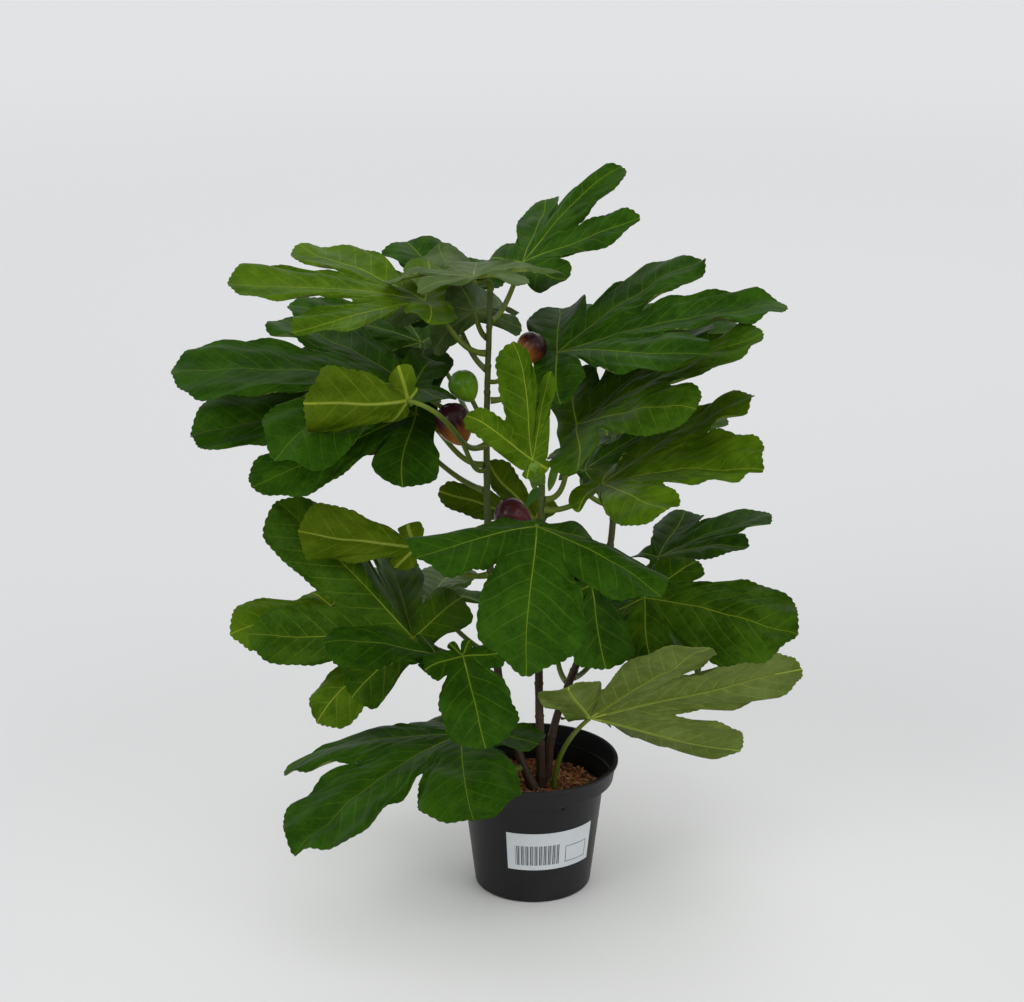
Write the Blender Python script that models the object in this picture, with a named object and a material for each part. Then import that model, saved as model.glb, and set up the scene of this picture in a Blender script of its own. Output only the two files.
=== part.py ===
"""Artificial fig tree in a black nursery pot.

Metres, +Z up. The origin is the middle of the pot's flat underside. Three stems
rise from the filled pot, one bough leaves the tallest stem, and every leaf with
its petiole, and every fig with its stalk, is a solid of its own. Each of them
starts a small gap clear of the stem that bears it.
"""
import math

import bmesh
import bpy
import numpy as np

GAP = 0.0003  # clearance between pieces that touch

# Pot, turned about +Z
POT_HEIGHT = 0.125
RIM_RADIUS = 0.080
BASE_RADIUS = 0.0545
SHOULDER_RADIUS = 0.067
BAND_HEIGHT = 0.0195
WALL = 0.0015
FLOOR = 0.0018
POT_SEGMENTS = 48
SLOT_ANGLES = (24.0, 114.0, 204.0, 294.0)  # degrees clockwise from the front, seen from above
SLOT_WIDTH = 0.0028
SLOT_HEIGHT = 0.0045
SLOT_BELOW_BAND = 0.0052
CORNER = 0.003  # rounding of the foot
BAND_STEP = 0.0085  # the band stands out this far over the wall
LEDGE = 0.0012
RIM_LIP = 0.0018

# Bare sticker on the pot's wall
LABEL_ARC = 0.086
LABEL_HEIGHT = 0.039
LABEL_THICKNESS = 0.0004
LABEL_CENTRE_Z = 0.056
LABEL_BEARING = 17.0  # degrees towards +X from the front
LABEL_COLUMNS = 14

SOIL_TOP = 0.096

# Stems and bough: route points from the foot up, radius at the foot and at the tip
STEM_SIDES = 8
STEMS = {
    "front_stem": {
        "route": [(0.008, 0.000, 0.0963), (0.005, -0.005, 0.217), (0.006, -0.015, 0.330),
                  (0.007, -0.020, 0.405)],
        "foot_radius": 0.0042, "tip_radius": 0.0030},
    "tall_stem": {
        "route": [(0.001, -0.010, 0.0963), (-0.014, 0.000, 0.130), (-0.031, 0.014, 0.190),
                  (-0.040, 0.020, 0.304), (-0.043, 0.020, 0.430), (-0.039, 0.018, 0.569)],
        "foot_radius": 0.0042, "tip_radius": 0.0024},
    "back_stem": {
        "route": [(0.013, 0.018, 0.0963), (0.020, 0.024, 0.145), (0.036, 0.036, 0.190), (0.067, 0.055, 0.272),
                  (0.080, 0.085, 0.400), (0.080, 0.098, 0.460)],
        "foot_radius": 0.0040, "tip_radius": 0.0026},
}
FLARE = 1.35  # widening of each stem at the soil
FLARE_HEIGHT = 0.012
NODE_REACH = 0.004  # the stem's direction at a petiole is read over this far up and down

BOUGHS = {
    "left_bough": {
        "from_stem": "tall_stem", "from_height": 0.189,
        "route": [(-0.052, 0.000, 0.209), (-0.070, -0.014, 0.227), (-0.086, -0.024, 0.241)],
        "foot_radius": 0.0028, "tip_radius": 0.0024},
}

# Leaf moulds: each lobe's angle from the middle lobe, length and half width, as shares of the blade's length,
# then the bays between lobes and the notch at the petiole
MOULDS = {
    "broad": {
        "lobes": [(102, 0.46, 0.16), (50, 0.86, 0.22), (0, 1.0, 0.27)], "bays": [0.30, 0.42], "notch": 0.10},
    "three": {
        "lobes": [(115, 0.26, 0.11), (52, 0.84, 0.22), (0, 1.0, 0.33)], "bays": [0.24, 0.46], "notch": 0.08},
    "wide": {
        "lobes": [(106, 0.44, 0.15), (54, 0.86, 0.25), (0, 1.0, 0.34)], "bays": [0.34, 0.46], "notch": 0.10},
    "palm": {
        "lobes": [(118, 0.22, 0.09), (52, 0.90, 0.24), (0, 1.0, 0.38)], "bays": [0.22, 0.46], "notch": 0.08},
    "long": {
        "lobes": [(150, 0.15, 0.05), (42, 0.74, 0.13), (0, 1.0, 0.25)], "bays": [0.16, 0.48], "notch": 0.06},
    "shield": {
        "lobes": [(145, 0.20, 0.07), (75, 0.46, 0.20), (0, 1.0, 0.45)], "bays": [0.24, 0.58], "notch": 0.07},
    "egg": {
        "lobes": [(140, 0.14, 0.05), (72, 0.34, 0.15), (0, 1.0, 0.41)], "bays": [0.20, 0.52], "notch": 0.06},
    "oval": {
        "lobes": [(142, 0.13, 0.05), (70, 0.28, 0.12), (0, 1.0, 0.37)], "bays": [0.17, 0.47], "notch": 0.06},
}
# Points of a lobe's end: share of its length and of its half width
LOBE_END = ((0.61, 0.84), (0.87, 0.90), (1.0, 0.0), (0.87, -0.90), (0.61, -0.84))
LEAF_RINGS = (0.55, 1.0)
LEAF_THICKNESS = 0.011  # share of the blade's length
THINNEST_LEAF = 0.0012
PETIOLE_SIDES = 6
PETIOLE_STEPS = 5
PETIOLE_FOOT_RADIUS = 0.0021
PETIOLE_TIP_RADIUS = 0.0013
PETIOLE_PULL = 0.35  # share of the petiole's length over which each end keeps its direction
PETIOLE_FROM_BELOW = 0.6

# Leaves: the stem and the height where the petiole leaves it (None is its tip), where petiole and blade join,
# where the middle lobe ends, the roll about that line, the mould, how far the fan of lobes is opened on its
# left and right, and each lobe's lift at the joint (basal left, left, middle, right, basal right) and curl
# in degrees
LEAVES = {
    "leaf_top": dict(
        stem="tall_stem", height=0.540, joint=(-0.010, 0.074, 0.582), tip=(0.082, 0.139, 0.659), roll=10,
        mould="broad", spread=(0.8, 0.8), lift=(-15, -13, 0, 6, 10), curl=-10),
    "leaf_flat": dict(
        stem="tall_stem", height=None, joint=(-0.053, -0.033, 0.592), tip=(-0.052, 0.076, 0.576), roll=-3,
        mould="broad", spread=(1.1, 1.1), lift=(6, 3, 0, 3, 8), curl=-25),
    "leaf_behind_top": dict(
        stem="tall_stem", height=0.525, joint=(-0.054, 0.035, 0.546), tip=(-0.088, 0.135, 0.583), roll=-12,
        mould="broad", spread=(1, 1), lift=(-20, -7, 0, -32, -20), curl=-30),
    "leaf_left_high": dict(
        stem="tall_stem", height=0.511, joint=(-0.097, 0.010, 0.561), tip=(-0.268, -0.018, 0.581), roll=-18,
        mould="broad", spread=(0.67, 0.93), lift=(25, 5, 0, -5, 6), curl=-15),
    "leaf_left_high_back": dict(
        stem="tall_stem", height=0.495, joint=(-0.077, 0.100, 0.541), tip=(-0.122, 0.190, 0.579), roll=-3,
        mould="wide", spread=(1, 1), lift=(0, 0, 0, 0, -5), curl=-20),
    "leaf_left_mid_back": dict(
        stem="tall_stem", height=0.448, joint=(-0.110, 0.020, 0.478), tip=(-0.327, 0.000, 0.495), roll=-15,
        mould="three", spread=(0.95, 0.95), lift=(30, 5, 0, 0, 15), curl=-20),
    "leaf_left_mid": dict(
        stem="tall_stem", height=0.406, joint=(-0.107, 0.018, 0.454), tip=(-0.310, 0.008, 0.438), roll=-34,
        mould="wide", spread=(0.55, 0.9), lift=(15, 10, 0, -10, 5), curl=-20),
    "leaf_left_light": dict(
        stem="tall_stem", height=0.425, joint=(-0.109, -0.085, 0.496), tip=(-0.196, -0.125, 0.503), roll=72,
        mould="egg", spread=(1, 1), lift=(0, 5, 0, 10, 0), curl=20),
    "leaf_left_far": dict(
        stem="tall_stem", height=0.432, joint=(-0.107, 0.165, 0.484), tip=(-0.236, 0.203, 0.513), roll=-10,
        mould="broad", spread=(1, 1), lift=(0, -10, 0, 0, 0), curl=-15),
    "leaf_left_low": dict(
        stem="left_bough", height=None, joint=(-0.110, -0.025, 0.254), tip=(-0.238, 0.041, 0.365), roll=-37,
        mould="broad", spread=(0.8, 0.8), lift=(-30, -20, 0, -40, -20), curl=-10),
    "leaf_left_under": dict(
        stem="tall_stem", height=0.300, joint=(-0.107, -0.015, 0.338), tip=(-0.213, -0.030, 0.361), roll=70,
        mould="oval", spread=(0.9, 0.9), lift=(0, 0, 0, 0, 5), curl=-10),
    "leaf_left_low_back": dict(
        stem="tall_stem", height=0.215, joint=(-0.191, 0.055, 0.255), tip=(-0.284, 0.020, 0.242), roll=-30,
        mould="oval", spread=(0.9, 0.9), lift=(0, 0, 0, -5, 0), curl=-15),
    "leaf_left_drop": dict(
        stem="left_bough", height=0.215, joint=(-0.143, 0.020, 0.217), tip=(-0.201, -0.010, 0.165), roll=-30,
        mould="egg", spread=(0.9, 0.9), lift=(0, 0, 0, 0, 0), curl=-15),
    "leaf_left_fold": dict(
        stem="left_bough", height=0.227, joint=(-0.088, -0.055, 0.250), tip=(-0.187, -0.075, 0.265), roll=-15,
        mould="oval", spread=(0.9, 0.9), lift=(0, 0, 0, 5, -5), curl=-15),
    "leaf_round_low": dict(
        stem="left_bough", height=0.205, joint=(-0.064, -0.064, 0.252), tip=(-0.044, -0.119, 0.188), roll=0,
        mould="shield", spread=(1, 1), lift=(0, 25, 0, 10, 5), curl=-20),
    "leaf_left_foot": dict(
        stem="tall_stem", height=0.117, joint=(-0.068, -0.025, 0.158), tip=(-0.210, -0.156, 0.106), roll=9,
        mould="wide", spread=(1, 0.95), lift=(10, 5, 0, 5, 5), curl=-25),
    "leaf_right_foot": dict(
        stem="soil", foot=(0.020, -0.006), joint=(0.0525, -0.006, 0.166), tip=(0.2525, -0.015, 0.222),
        roll=-63,
        mould="broad", spread=(0.92, 0.85), lift=(50, 10, 0, -15, -15), curl=-10),
    "leaf_front": dict(
        stem="front_stem", height=0.312, joint=(0.002, -0.065, 0.375), tip=(-0.007, -0.193, 0.291), roll=-11,
        mould="wide", spread=(1.02, 1.02), lift=(-15, 15, 0, 15, -3), curl=-20),
    "leaf_right_high": dict(
        stem="tall_stem", height=0.467, joint=(0.021, 0.020, 0.511), tip=(0.225, 0.010, 0.554), roll=10,
        mould="broad", spread=(0.78, 0.8), lift=(10, 7, 0, 10, 5), curl=-15),
    "leaf_right_second": dict(
        stem="front_stem", height=0.385, joint=(0.038, -0.019, 0.455), tip=(0.201, -0.044, 0.545), roll=15,
        mould="wide", spread=(0.72, 0.72), lift=(15, -4, 0, 6, 8), curl=-15),
    "leaf_right_third": dict(
        stem="front_stem", height=0.376, joint=(0.060, -0.039, 0.406), tip=(0.194, -0.144, 0.454), roll=20,
        mould="palm", spread=(0.68, 0.62), lift=(15, 8, 0, 6, 10), curl=-15),
    "leaf_right_dark": dict(
        stem="back_stem", height=0.350, joint=(0.047, 0.041, 0.394), tip=(0.111, 0.076, 0.425), roll=0,
        mould="broad", spread=(1, 1), lift=(0, -5, 0, 0, 0), curl=-15),
    "leaf_right_low": dict(
        stem="back_stem", height=0.230, joint=(0.103, 0.012, 0.2795), tip=(0.2380, -0.045, 0.266), roll=27,
        mould="shield", spread=(0.85, 0.85), lift=(0, 0, 0, -12, 0), curl=-15),
    "leaf_right_low_back": dict(
        stem="back_stem", height=0.280, joint=(0.121, 0.104, 0.287), tip=(0.233, 0.142, 0.316), roll=2,
        mould="three", spread=(1, 1), lift=(5, 0, 0, 15, 5), curl=-15),
    "leaf_right_hang": dict(
        stem="front_stem", height=0.265, joint=(0.052, -0.026, 0.306), tip=(0.066, -0.060, 0.236), roll=-4,
        mould="shield", spread=(1, 1), lift=(0, 0, 0, 0, 0), curl=-15),
    "leaf_right_drop": dict(
        stem="back_stem", height=0.215, joint=(0.102, 0.074, 0.255), tip=(0.161, 0.069, 0.182), roll=10,
        mould="broad", spread=(1, 1), lift=(-5, 0, 0, 0, -5), curl=-15),
    "leaf_young": dict(
        stem="front_stem", height=None, joint=(-0.002, -0.076, 0.440), tip=(-0.020, -0.087, 0.550), roll=-110,
        mould="long", spread=(1.0, 0.5), lift=(0, 10, 0, 0, 0), curl=10),
    "leaf_olive": dict(
        stem="front_stem", height=0.300, joint=(0.002, 0.055, 0.341), tip=(-0.090, 0.070, 0.364), roll=63,
        mould="broad", spread=(1, 1), lift=(-5, 0, 0, 0, 0), curl=-10),
    "leaf_back_right_high": dict(
        stem="back_stem", height=0.440, joint=(0.063, 0.115, 0.495), tip=(0.170, 0.235, 0.505), roll=0,
        mould="broad", spread=(1, 1), lift=(-5, 0, 0, 5, -5), curl=-15),
    "leaf_back_right_mid": dict(
        stem="back_stem", height=0.360, joint=(0.075, 0.149, 0.381), tip=(0.186, 0.259, 0.380), roll=0,
        mould="broad", spread=(1, 1), lift=(-5, 5, 0, 5, 0), curl=-15),
    "leaf_back_left_mid": dict(
        stem="tall_stem", height=0.380, joint=(-0.126, 0.120, 0.415), tip=(-0.241, 0.230, 0.409), roll=0,
        mould="broad", spread=(1, 1), lift=(0, 0, 0, 0, 0), curl=-15),
    "leaf_back_left_low": dict(
        stem="tall_stem", height=0.220, joint=(-0.099, 0.100, 0.245), tip=(-0.205, 0.220, 0.232), roll=3,
        mould="broad", spread=(1, 1), lift=(5, 0, 0, 0, 0), curl=-15),
    "leaf_back_low": dict(
        stem="back_stem", height=0.185, joint=(0.027, 0.105, 0.222), tip=(0.060, 0.220, 0.227), roll=0,
        mould="broad", spread=(1, 1), lift=(-5, 0, 0, -5, 0), curl=-15),
    "leaf_back_right_low": dict(
        stem="back_stem", height=0.190, joint=(0.086, 0.124, 0.205), tip=(0.194, 0.234, 0.195), roll=0,
        mould="broad", spread=(1, 1), lift=(5, 0, 0, -5, 0), curl=-15),
}

# Figs: where the stalk leaves its stem, where stalk and fruit join, where the fruit ends, and its radius
FIGS = {
    "fig_purple_left": dict(stem="tall_stem", height=0.402, neck=(-0.063, -0.014, 0.435),
                           eye=(-0.078, -0.019, 0.473), radius=0.0165),
    "fig_green": dict(stem="tall_stem", height=0.455, neck=(-0.055, 0.015, 0.467),
                     eye=(-0.070, 0.017, 0.494), radius=0.0135),
    "fig_behind_young": dict(stem="tall_stem", height=0.485, neck=(-0.015, 0.004, 0.507),
                            eye=(0.007, 0.008, 0.529), radius=0.0140),
    "fig_dark_front": dict(stem="front_stem", height=0.345, neck=(-0.002, -0.018, 0.364),
                          eye=(-0.035, -0.018, 0.375), radius=0.0160),
    "fig_red": dict(stem="front_stem", height=0.285, neck=(0.024, -0.011, 0.293),
                   eye=(0.038, -0.012, 0.320), radius=0.0130),
}
FIG_SIDES = 8
FIG_BODY_RINGS = 8
FIG_STALK_RINGS = 4
FIG_STALK_RADIUS = 0.0017
FIG_EYE = 0.25  # radius of the flat eye as a share of the fruit's
FIG_BELLY = 1.35  # above 1 the widest place moves from the middle towards the eye


# Finishes: colour and roughness
FINISHES = {
    "pot_black": ((0.018, 0.019, 0.021), 0.45),
    "coir_brown": ((0.20, 0.075, 0.035), 0.95),
    "paper": ((0.80, 0.80, 0.80), 0.60),
    "stem_bark": ((0.085, 0.085, 0.050), 0.60),
    "leaf_deep": ((0.030, 0.100, 0.028), 0.42),
    "leaf_light": ((0.095, 0.190, 0.040), 0.45),
    "fig_purple_skin": ((0.055, 0.018, 0.020), 0.30),
    "fig_green_skin": ((0.140, 0.320, 0.030), 0.35),
    "fig_red_skin": ((0.200, 0.030, 0.020), 0.30),
}
LIGHT_LEAVES = ("leaf_right_foot", "leaf_right_third", "leaf_young", "leaf_olive", "leaf_left_light",
                "leaf_left_under")


def remove_old_objects():
    for obj in list(bpy.data.objects):
        bpy.data.objects.remove(obj, do_unlink=True)


def new_material(name):
    color, roughness = FINISHES[name]
    material = bpy.data.materials.new(name)
    material.use_nodes = True
    shader = material.node_tree.nodes["Principled BSDF"]
    shader.inputs["Base Color"].default_value = (*color, 1.0)
    shader.inputs["Roughness"].default_value = roughness
    shader.inputs["Metallic"].default_value = 0.0
    return material


def add_object(name, vertices, faces, material, sharp_degrees=40):
    """One closed mesh object whose faces point outwards."""
    mesh = bpy.data.meshes.new(name)
    mesh.from_pydata([tuple(v) for v in vertices], [], faces)
    work = bmesh.new()
    work.from_mesh(mesh)
    bmesh.ops.recalc_face_normals(work, faces=work.faces)
    work.to_mesh(mesh)
    work.free()
    mesh.materials.append(material)
    mesh.shade_smooth()
    mesh.set_sharp_from_angle(angle=math.radians(sharp_degrees))
    obj = bpy.data.objects.new(name, mesh)
    bpy.context.collection.objects.link(obj)
    return obj


def boolean(obj, other, operation):
    """Unites obj with other or cuts other out of it, keeps the result in obj and removes other."""
    modifier = obj.modifiers.new(operation.title(), "BOOLEAN")
    modifier.operation = operation
    modifier.solver = "EXACT"
    modifier.object = other
    evaluated = obj.evaluated_get(bpy.context.evaluated_depsgraph_get())
    result = bpy.data.meshes.new_from_object(evaluated)
    obj.modifiers.clear()
    obj.data = result
    bpy.data.objects.remove(other, do_unlink=True)


def unit(vector):
    vector = np.asarray(vector, dtype=float)
    return vector / np.linalg.norm(vector)


def smooth_path(route, per_span):
    """Catmull-Rom curve through the route's points."""
    points = np.array(route, dtype=float)
    before = np.vstack([2 * points[0] - points[1], points, 2 * points[-1] - points[-2]])
    share = np.linspace(0, 1, per_span, endpoint=False)[:, None]
    spans = []
    for a, b, c, d in zip(before[:-3], before[1:-2], before[2:-1], before[3:]):
        spans.append(0.5 * (2 * b + (c - a) * share + (2 * a - 5 * b + 4 * c - d) * share ** 2
                            + (3 * b - a - 3 * c + d) * share ** 3))
    return np.vstack(spans + [points[-1:]])


def bezier(start, start_pull, end_pull, end, steps):
    share = np.linspace(0, 1, steps)[:, None]
    rest = 1 - share
    ends = rest ** 3 * start + share ** 3 * end
    return ends + 3 * rest ** 2 * share * start_pull + 3 * rest * share ** 2 * end_pull


def tube(path, radii, sides, first_normal=None):
    """Round limb along a path: rings square to it, closed by flat ends."""
    ahead = np.gradient(path, axis=0)
    ahead /= np.linalg.norm(ahead, axis=1)[:, None]
    if first_normal is not None:
        ahead[0] = first_normal
    side = unit(np.cross(ahead[0], (0.0, 0.0, 1.0) if abs(ahead[0][2]) < 0.9 else (1.0, 0.0, 0.0)))
    turn = np.arange(sides) * 2 * math.pi / sides
    rings = []
    for point, direction, radius in zip(path, ahead, radii):
        side = unit(side - direction * side.dot(direction))
        other = np.cross(direction, side)
        rings.append(point + radius * (np.cos(turn)[:, None] * side + np.sin(turn)[:, None] * other))
    return np.vstack(rings), ring_faces(len(path), sides)


def ring_faces(rings, sides):
    """Faces between rings that follow each other, and one flat face at each end."""
    faces = [tuple(reversed(range(sides)))]
    for r in range(rings - 1):
        for k in range(sides):
            a, b = r * sides + k, r * sides + (k + 1) % sides
            faces.append((a, b, b + sides))
            faces.append((a, b + sides, a + sides))
    faces.append(tuple(range((rings - 1) * sides, rings * sides)))
    return faces


def turned(profile, segments):
    """Body turned about +Z from (radius, height) points whose first and last lie on the axis."""
    turn = np.arange(segments) * 2 * math.pi / segments
    vertices = [(0.0, 0.0, profile[0][1])]
    for radius, height in profile[1:-1]:
        vertices.extend(zip(radius * np.sin(turn), -radius * np.cos(turn), np.full(segments, height)))
    vertices.append((0.0, 0.0, profile[-1][1]))
    last = len(vertices) - 1
    rings = len(profile) - 2
    faces = []
    for k in range(segments):
        n = (k + 1) % segments
        faces.append((0, 1 + n, 1 + k))
        for r in range(rings - 1):
            low, high = 1 + r * segments, 1 + (r + 1) * segments
            faces.append((low + k, low + n, high + n, high + k))
        top = 1 + (rings - 1) * segments
        faces.append((top + k, top + n, last))
    return vertices, faces


# Pot, filling and sticker

def wall_radius(height):
    """Outer radius of the tapering wall below the rim band."""
    return BASE_RADIUS + (SHOULDER_RADIUS - BASE_RADIUS) * height / (POT_HEIGHT - BAND_HEIGHT)


def pot_profile():
    """Outside from the middle of the foot up to the rim, then inside back down to the floor."""
    band_foot = POT_HEIGHT - BAND_HEIGHT
    band_radius = SHOULDER_RADIUS + BAND_STEP
    lip_foot = POT_HEIGHT - 2 * LEDGE
    round_edge = WALL / 2
    outside = [(0.0, 0.0),
               (BASE_RADIUS - CORNER, 0.0),
               (BASE_RADIUS - CORNER / 4, CORNER / 3),
               (wall_radius(CORNER), CORNER),
               (SHOULDER_RADIUS, band_foot - LEDGE),
               (band_radius - LEDGE, band_foot),
               (band_radius, band_foot + LEDGE),
               (RIM_RADIUS - RIM_LIP, lip_foot - round_edge),
               (RIM_RADIUS, lip_foot),
               (RIM_RADIUS, POT_HEIGHT - round_edge),
               (RIM_RADIUS - round_edge, POT_HEIGHT)]
    inside = [(RIM_RADIUS - 2 * WALL, POT_HEIGHT),
              (RIM_RADIUS - RIM_LIP - WALL, POT_HEIGHT - LEDGE),
              (band_radius - WALL, band_foot + WALL),
              (SHOULDER_RADIUS - WALL, band_foot - LEDGE + WALL),
              (wall_radius(FLOOR) - 2 * WALL, FLOOR),
              (0.0, FLOOR)]
    return outside + inside


def build_pot():
    vertices, faces = turned(pot_profile(), POT_SEGMENTS)
    pot = add_object("pot", vertices, faces, new_material("pot_black"), 25)
    slot_z = POT_HEIGHT - BAND_HEIGHT - SLOT_BELOW_BAND
    cutter_mesh = bpy.data.meshes.new("slots")
    work = bmesh.new()
    for degrees in SLOT_ANGLES:
        angle = math.radians(degrees)
        cube = bmesh.ops.create_cube(work, size=1.0)["verts"]
        bmesh.ops.scale(work, vec=(SLOT_WIDTH, 8 * WALL, SLOT_HEIGHT), verts=cube)
        bmesh.ops.translate(work, vec=(0.0, -wall_radius(slot_z), slot_z), verts=cube)
        spin = ((math.cos(angle), math.sin(angle), 0), (-math.sin(angle), math.cos(angle), 0), (0, 0, 1))
        for vertex in cube:
            vertex.co = [sum(row[i] * vertex.co[i] for i in range(3)) for row in spin]
    work.to_mesh(cutter_mesh)
    work.free()
    cutter = bpy.data.objects.new("slots", cutter_mesh)
    bpy.context.collection.objects.link(cutter)
    boolean(pot, cutter, "DIFFERENCE")
    return pot


def build_soil():
    """The filling, a gap clear of the pot all round."""
    foot = FLOOR + GAP
    foot_radius = wall_radius(foot) - 2 * WALL - 2 * GAP
    top_radius = wall_radius(SOIL_TOP) - WALL - 2 * GAP
    profile = [(0.0, foot), (foot_radius, foot), (top_radius, SOIL_TOP), (0.0, SOIL_TOP)]
    vertices, faces = turned(profile, POT_SEGMENTS)
    return add_object("soil", vertices, faces, new_material("coir_brown"))


def build_label():
    """Curved sticker that follows the wall, a gap clear of it."""
    half_angle = LABEL_ARC / wall_radius(LABEL_CENTRE_Z) / 2
    angles = math.radians(LABEL_BEARING) + np.linspace(-half_angle, half_angle, LABEL_COLUMNS)
    low, high = LABEL_CENTRE_Z - LABEL_HEIGHT / 2, LABEL_CENTRE_Z + LABEL_HEIGHT / 2
    rings = []
    for angle in angles:
        corners = [(low, GAP), (high, GAP), (high, GAP + LABEL_THICKNESS), (low, GAP + LABEL_THICKNESS)]
        for height, clear in corners:
            radius = wall_radius(height) + clear
            rings.append((radius * math.sin(angle), -radius * math.cos(angle), height))
    return add_object("label", rings, ring_faces(LABEL_COLUMNS, 4), new_material("paper"), 30)


# Stems and bough

def limb_curve(name):
    limb = STEMS.get(name) or BOUGHS[name]
    route = list(limb["route"])
    if name in BOUGHS:
        route.insert(0, leave_limb(limb["from_stem"], limb["from_height"], route[0])[0])
    return smooth_path(route, 5)


def limb_radii(name, path):
    limb = STEMS.get(name) or BOUGHS[name]
    rise = (path[:, 2] - path[0, 2]) / (path[-1, 2] - path[0, 2])
    radii = limb["foot_radius"] + (limb["tip_radius"] - limb["foot_radius"]) * rise
    if name in STEMS:
        above_soil = np.clip((path[:, 2] - path[0, 2]) / FLARE_HEIGHT, 0, 1)
        radii = radii * (FLARE + (1 - FLARE) * above_soil)
    return radii


def leave_limb(name, height, towards):
    """Start and direction of a petiole, stalk or bough that leaves a limb a gap clear of its bark."""
    path = limb_curve(name)
    radii = limb_radii(name, path)
    if height is None:
        ahead = unit(path[-1] - path[-2])
        return path[-1] + ahead * GAP, ahead
    heights = height + NODE_REACH * np.array([-1, 0, 1])
    below, centre, above = (
        np.array([np.interp(z, path[:, 2], path[:, axis]) for axis in range(3)]) for z in heights)
    along = unit(above - below)
    outward = np.asarray(towards) - centre
    outward = unit(outward - along * outward.dot(along))
    return centre + outward * (np.interp(height, path[:, 2], radii) + GAP), outward


def build_limb(name, material):
    path = limb_curve(name)
    first = (0.0, 0.0, 1.0)
    if name in BOUGHS:
        limb = BOUGHS[name]
        first = leave_limb(limb["from_stem"], limb["from_height"], limb["route"][0])[1]
    vertices, faces = tube(path, limb_radii(name, path), STEM_SIDES, first)
    return add_object(name, vertices, faces, material)


# Leaves

def mould_outline(mould):
    """Flat outline as shares of the blade's length, the middle lobe along +X: angles and radii at the joint."""
    points = [(-mould["notch"], 0.0)]
    lobes = mould["lobes"] + [(-angle, length, width) for angle, length, width in mould["lobes"][-2::-1]]
    bays = mould["bays"] + mould["bays"][::-1]
    for i, (angle, length, width) in enumerate(lobes):
        cos, sin = math.cos(math.radians(angle)), math.sin(math.radians(angle))
        for along, across in LOBE_END:
            x, y = along * length, across * width
            points.append((x * cos - y * sin, x * sin + y * cos))
        if i < len(bays):
            next_angle, next_length, next_width = lobes[i + 1]
            edge = angle - math.degrees(math.atan2(width, length * LOBE_END[0][0]))
            next_edge = next_angle + math.degrees(math.atan2(next_width, next_length * LOBE_END[0][0]))
            middle = math.radians((edge + next_edge) / 2)
            points.append((bays[i] * math.cos(middle), bays[i] * math.sin(middle)))
    points = np.array(points)
    return np.degrees(np.arctan2(points[:, 1], points[:, 0])), np.hypot(points[:, 0], points[:, 1])


def between_lobes(angles, lobe_angles, values):
    """Each lobe's own value on its axis, eased from lobe to lobe between them."""
    stops = np.concatenate([[lobe_angles[-1] - 360], lobe_angles, [lobe_angles[0] + 360]])
    levels = np.concatenate([[values[-1]], values, [values[0]]])
    span = np.clip(np.searchsorted(stops, angles) - 1, 0, len(stops) - 2)
    share = (angles - stops[span]) / (stops[span + 1] - stops[span])
    share = share * share * (3 - 2 * share)
    return levels[span] * (1 - share) + levels[span + 1] * share


def bent(angles, radii, leaf):
    """Blade points at the joint for a blade of length 1: each ray is an arc that starts at the lift and curls."""
    mould = MOULDS[leaf["mould"]]
    lobes = mould["lobes"] + [(-angle, length, width) for angle, length, width in mould["lobes"][-2::-1]]
    lobe_angles = np.array([lobe[0] for lobe in lobes][::-1], dtype=float)
    lobe_lengths = np.array([lobe[1] for lobe in lobes][::-1])
    lift = np.radians(between_lobes(angles, lobe_angles, np.array(leaf["lift"][::-1], dtype=float)))
    length = between_lobes(angles, lobe_angles, lobe_lengths)
    curl = np.radians(leaf["curl"]) / length
    end = lift + curl * radii
    out = (np.sin(end) - np.sin(lift)) / curl
    up = (np.cos(lift) - np.cos(end)) / curl
    left, right = leaf["spread"]
    spread = np.where(angles > 0, left, right)
    ease = np.clip((np.abs(angles) - 50) / 130, 0, 1)
    fan = np.radians(angles * (spread + (1 - spread) * ease))
    return np.stack([out * np.cos(fan), out * np.sin(fan), up], axis=-1)


def leaf_frame(leaf):
    """Blade length, the rotation's rows (ahead, left, up) and the tilt that lays the middle lobe on the line
    from joint to tip."""
    joint, tip = np.array(leaf["joint"]), np.array(leaf["tip"])
    middle = bent(np.array([0.0]), np.array([1.0]), leaf)[0]
    line = tip - joint
    length = np.linalg.norm(line) / math.hypot(middle[0], middle[2])
    ahead = unit(line)
    level = unit(np.cross((0.0, 0.0, 1.0), ahead))
    above = np.cross(ahead, level)
    roll = math.radians(leaf["roll"])
    left = level * math.cos(roll) + above * math.sin(roll)
    up = above * math.cos(roll) - level * math.sin(roll)
    return length, np.stack([ahead, left, up]), math.atan2(middle[2], middle[0])


def laid(points, leaf):
    """Bent blade points to their place on the plant."""
    length, rows, tilt = leaf_frame(leaf)
    x, y, z = (points * length).T
    ahead, above = x * math.cos(tilt) + z * math.sin(tilt), z * math.cos(tilt) - x * math.sin(tilt)
    turned_points = np.stack([ahead, y, above], axis=-1)
    return turned_points @ rows + np.array(leaf["joint"])


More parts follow.
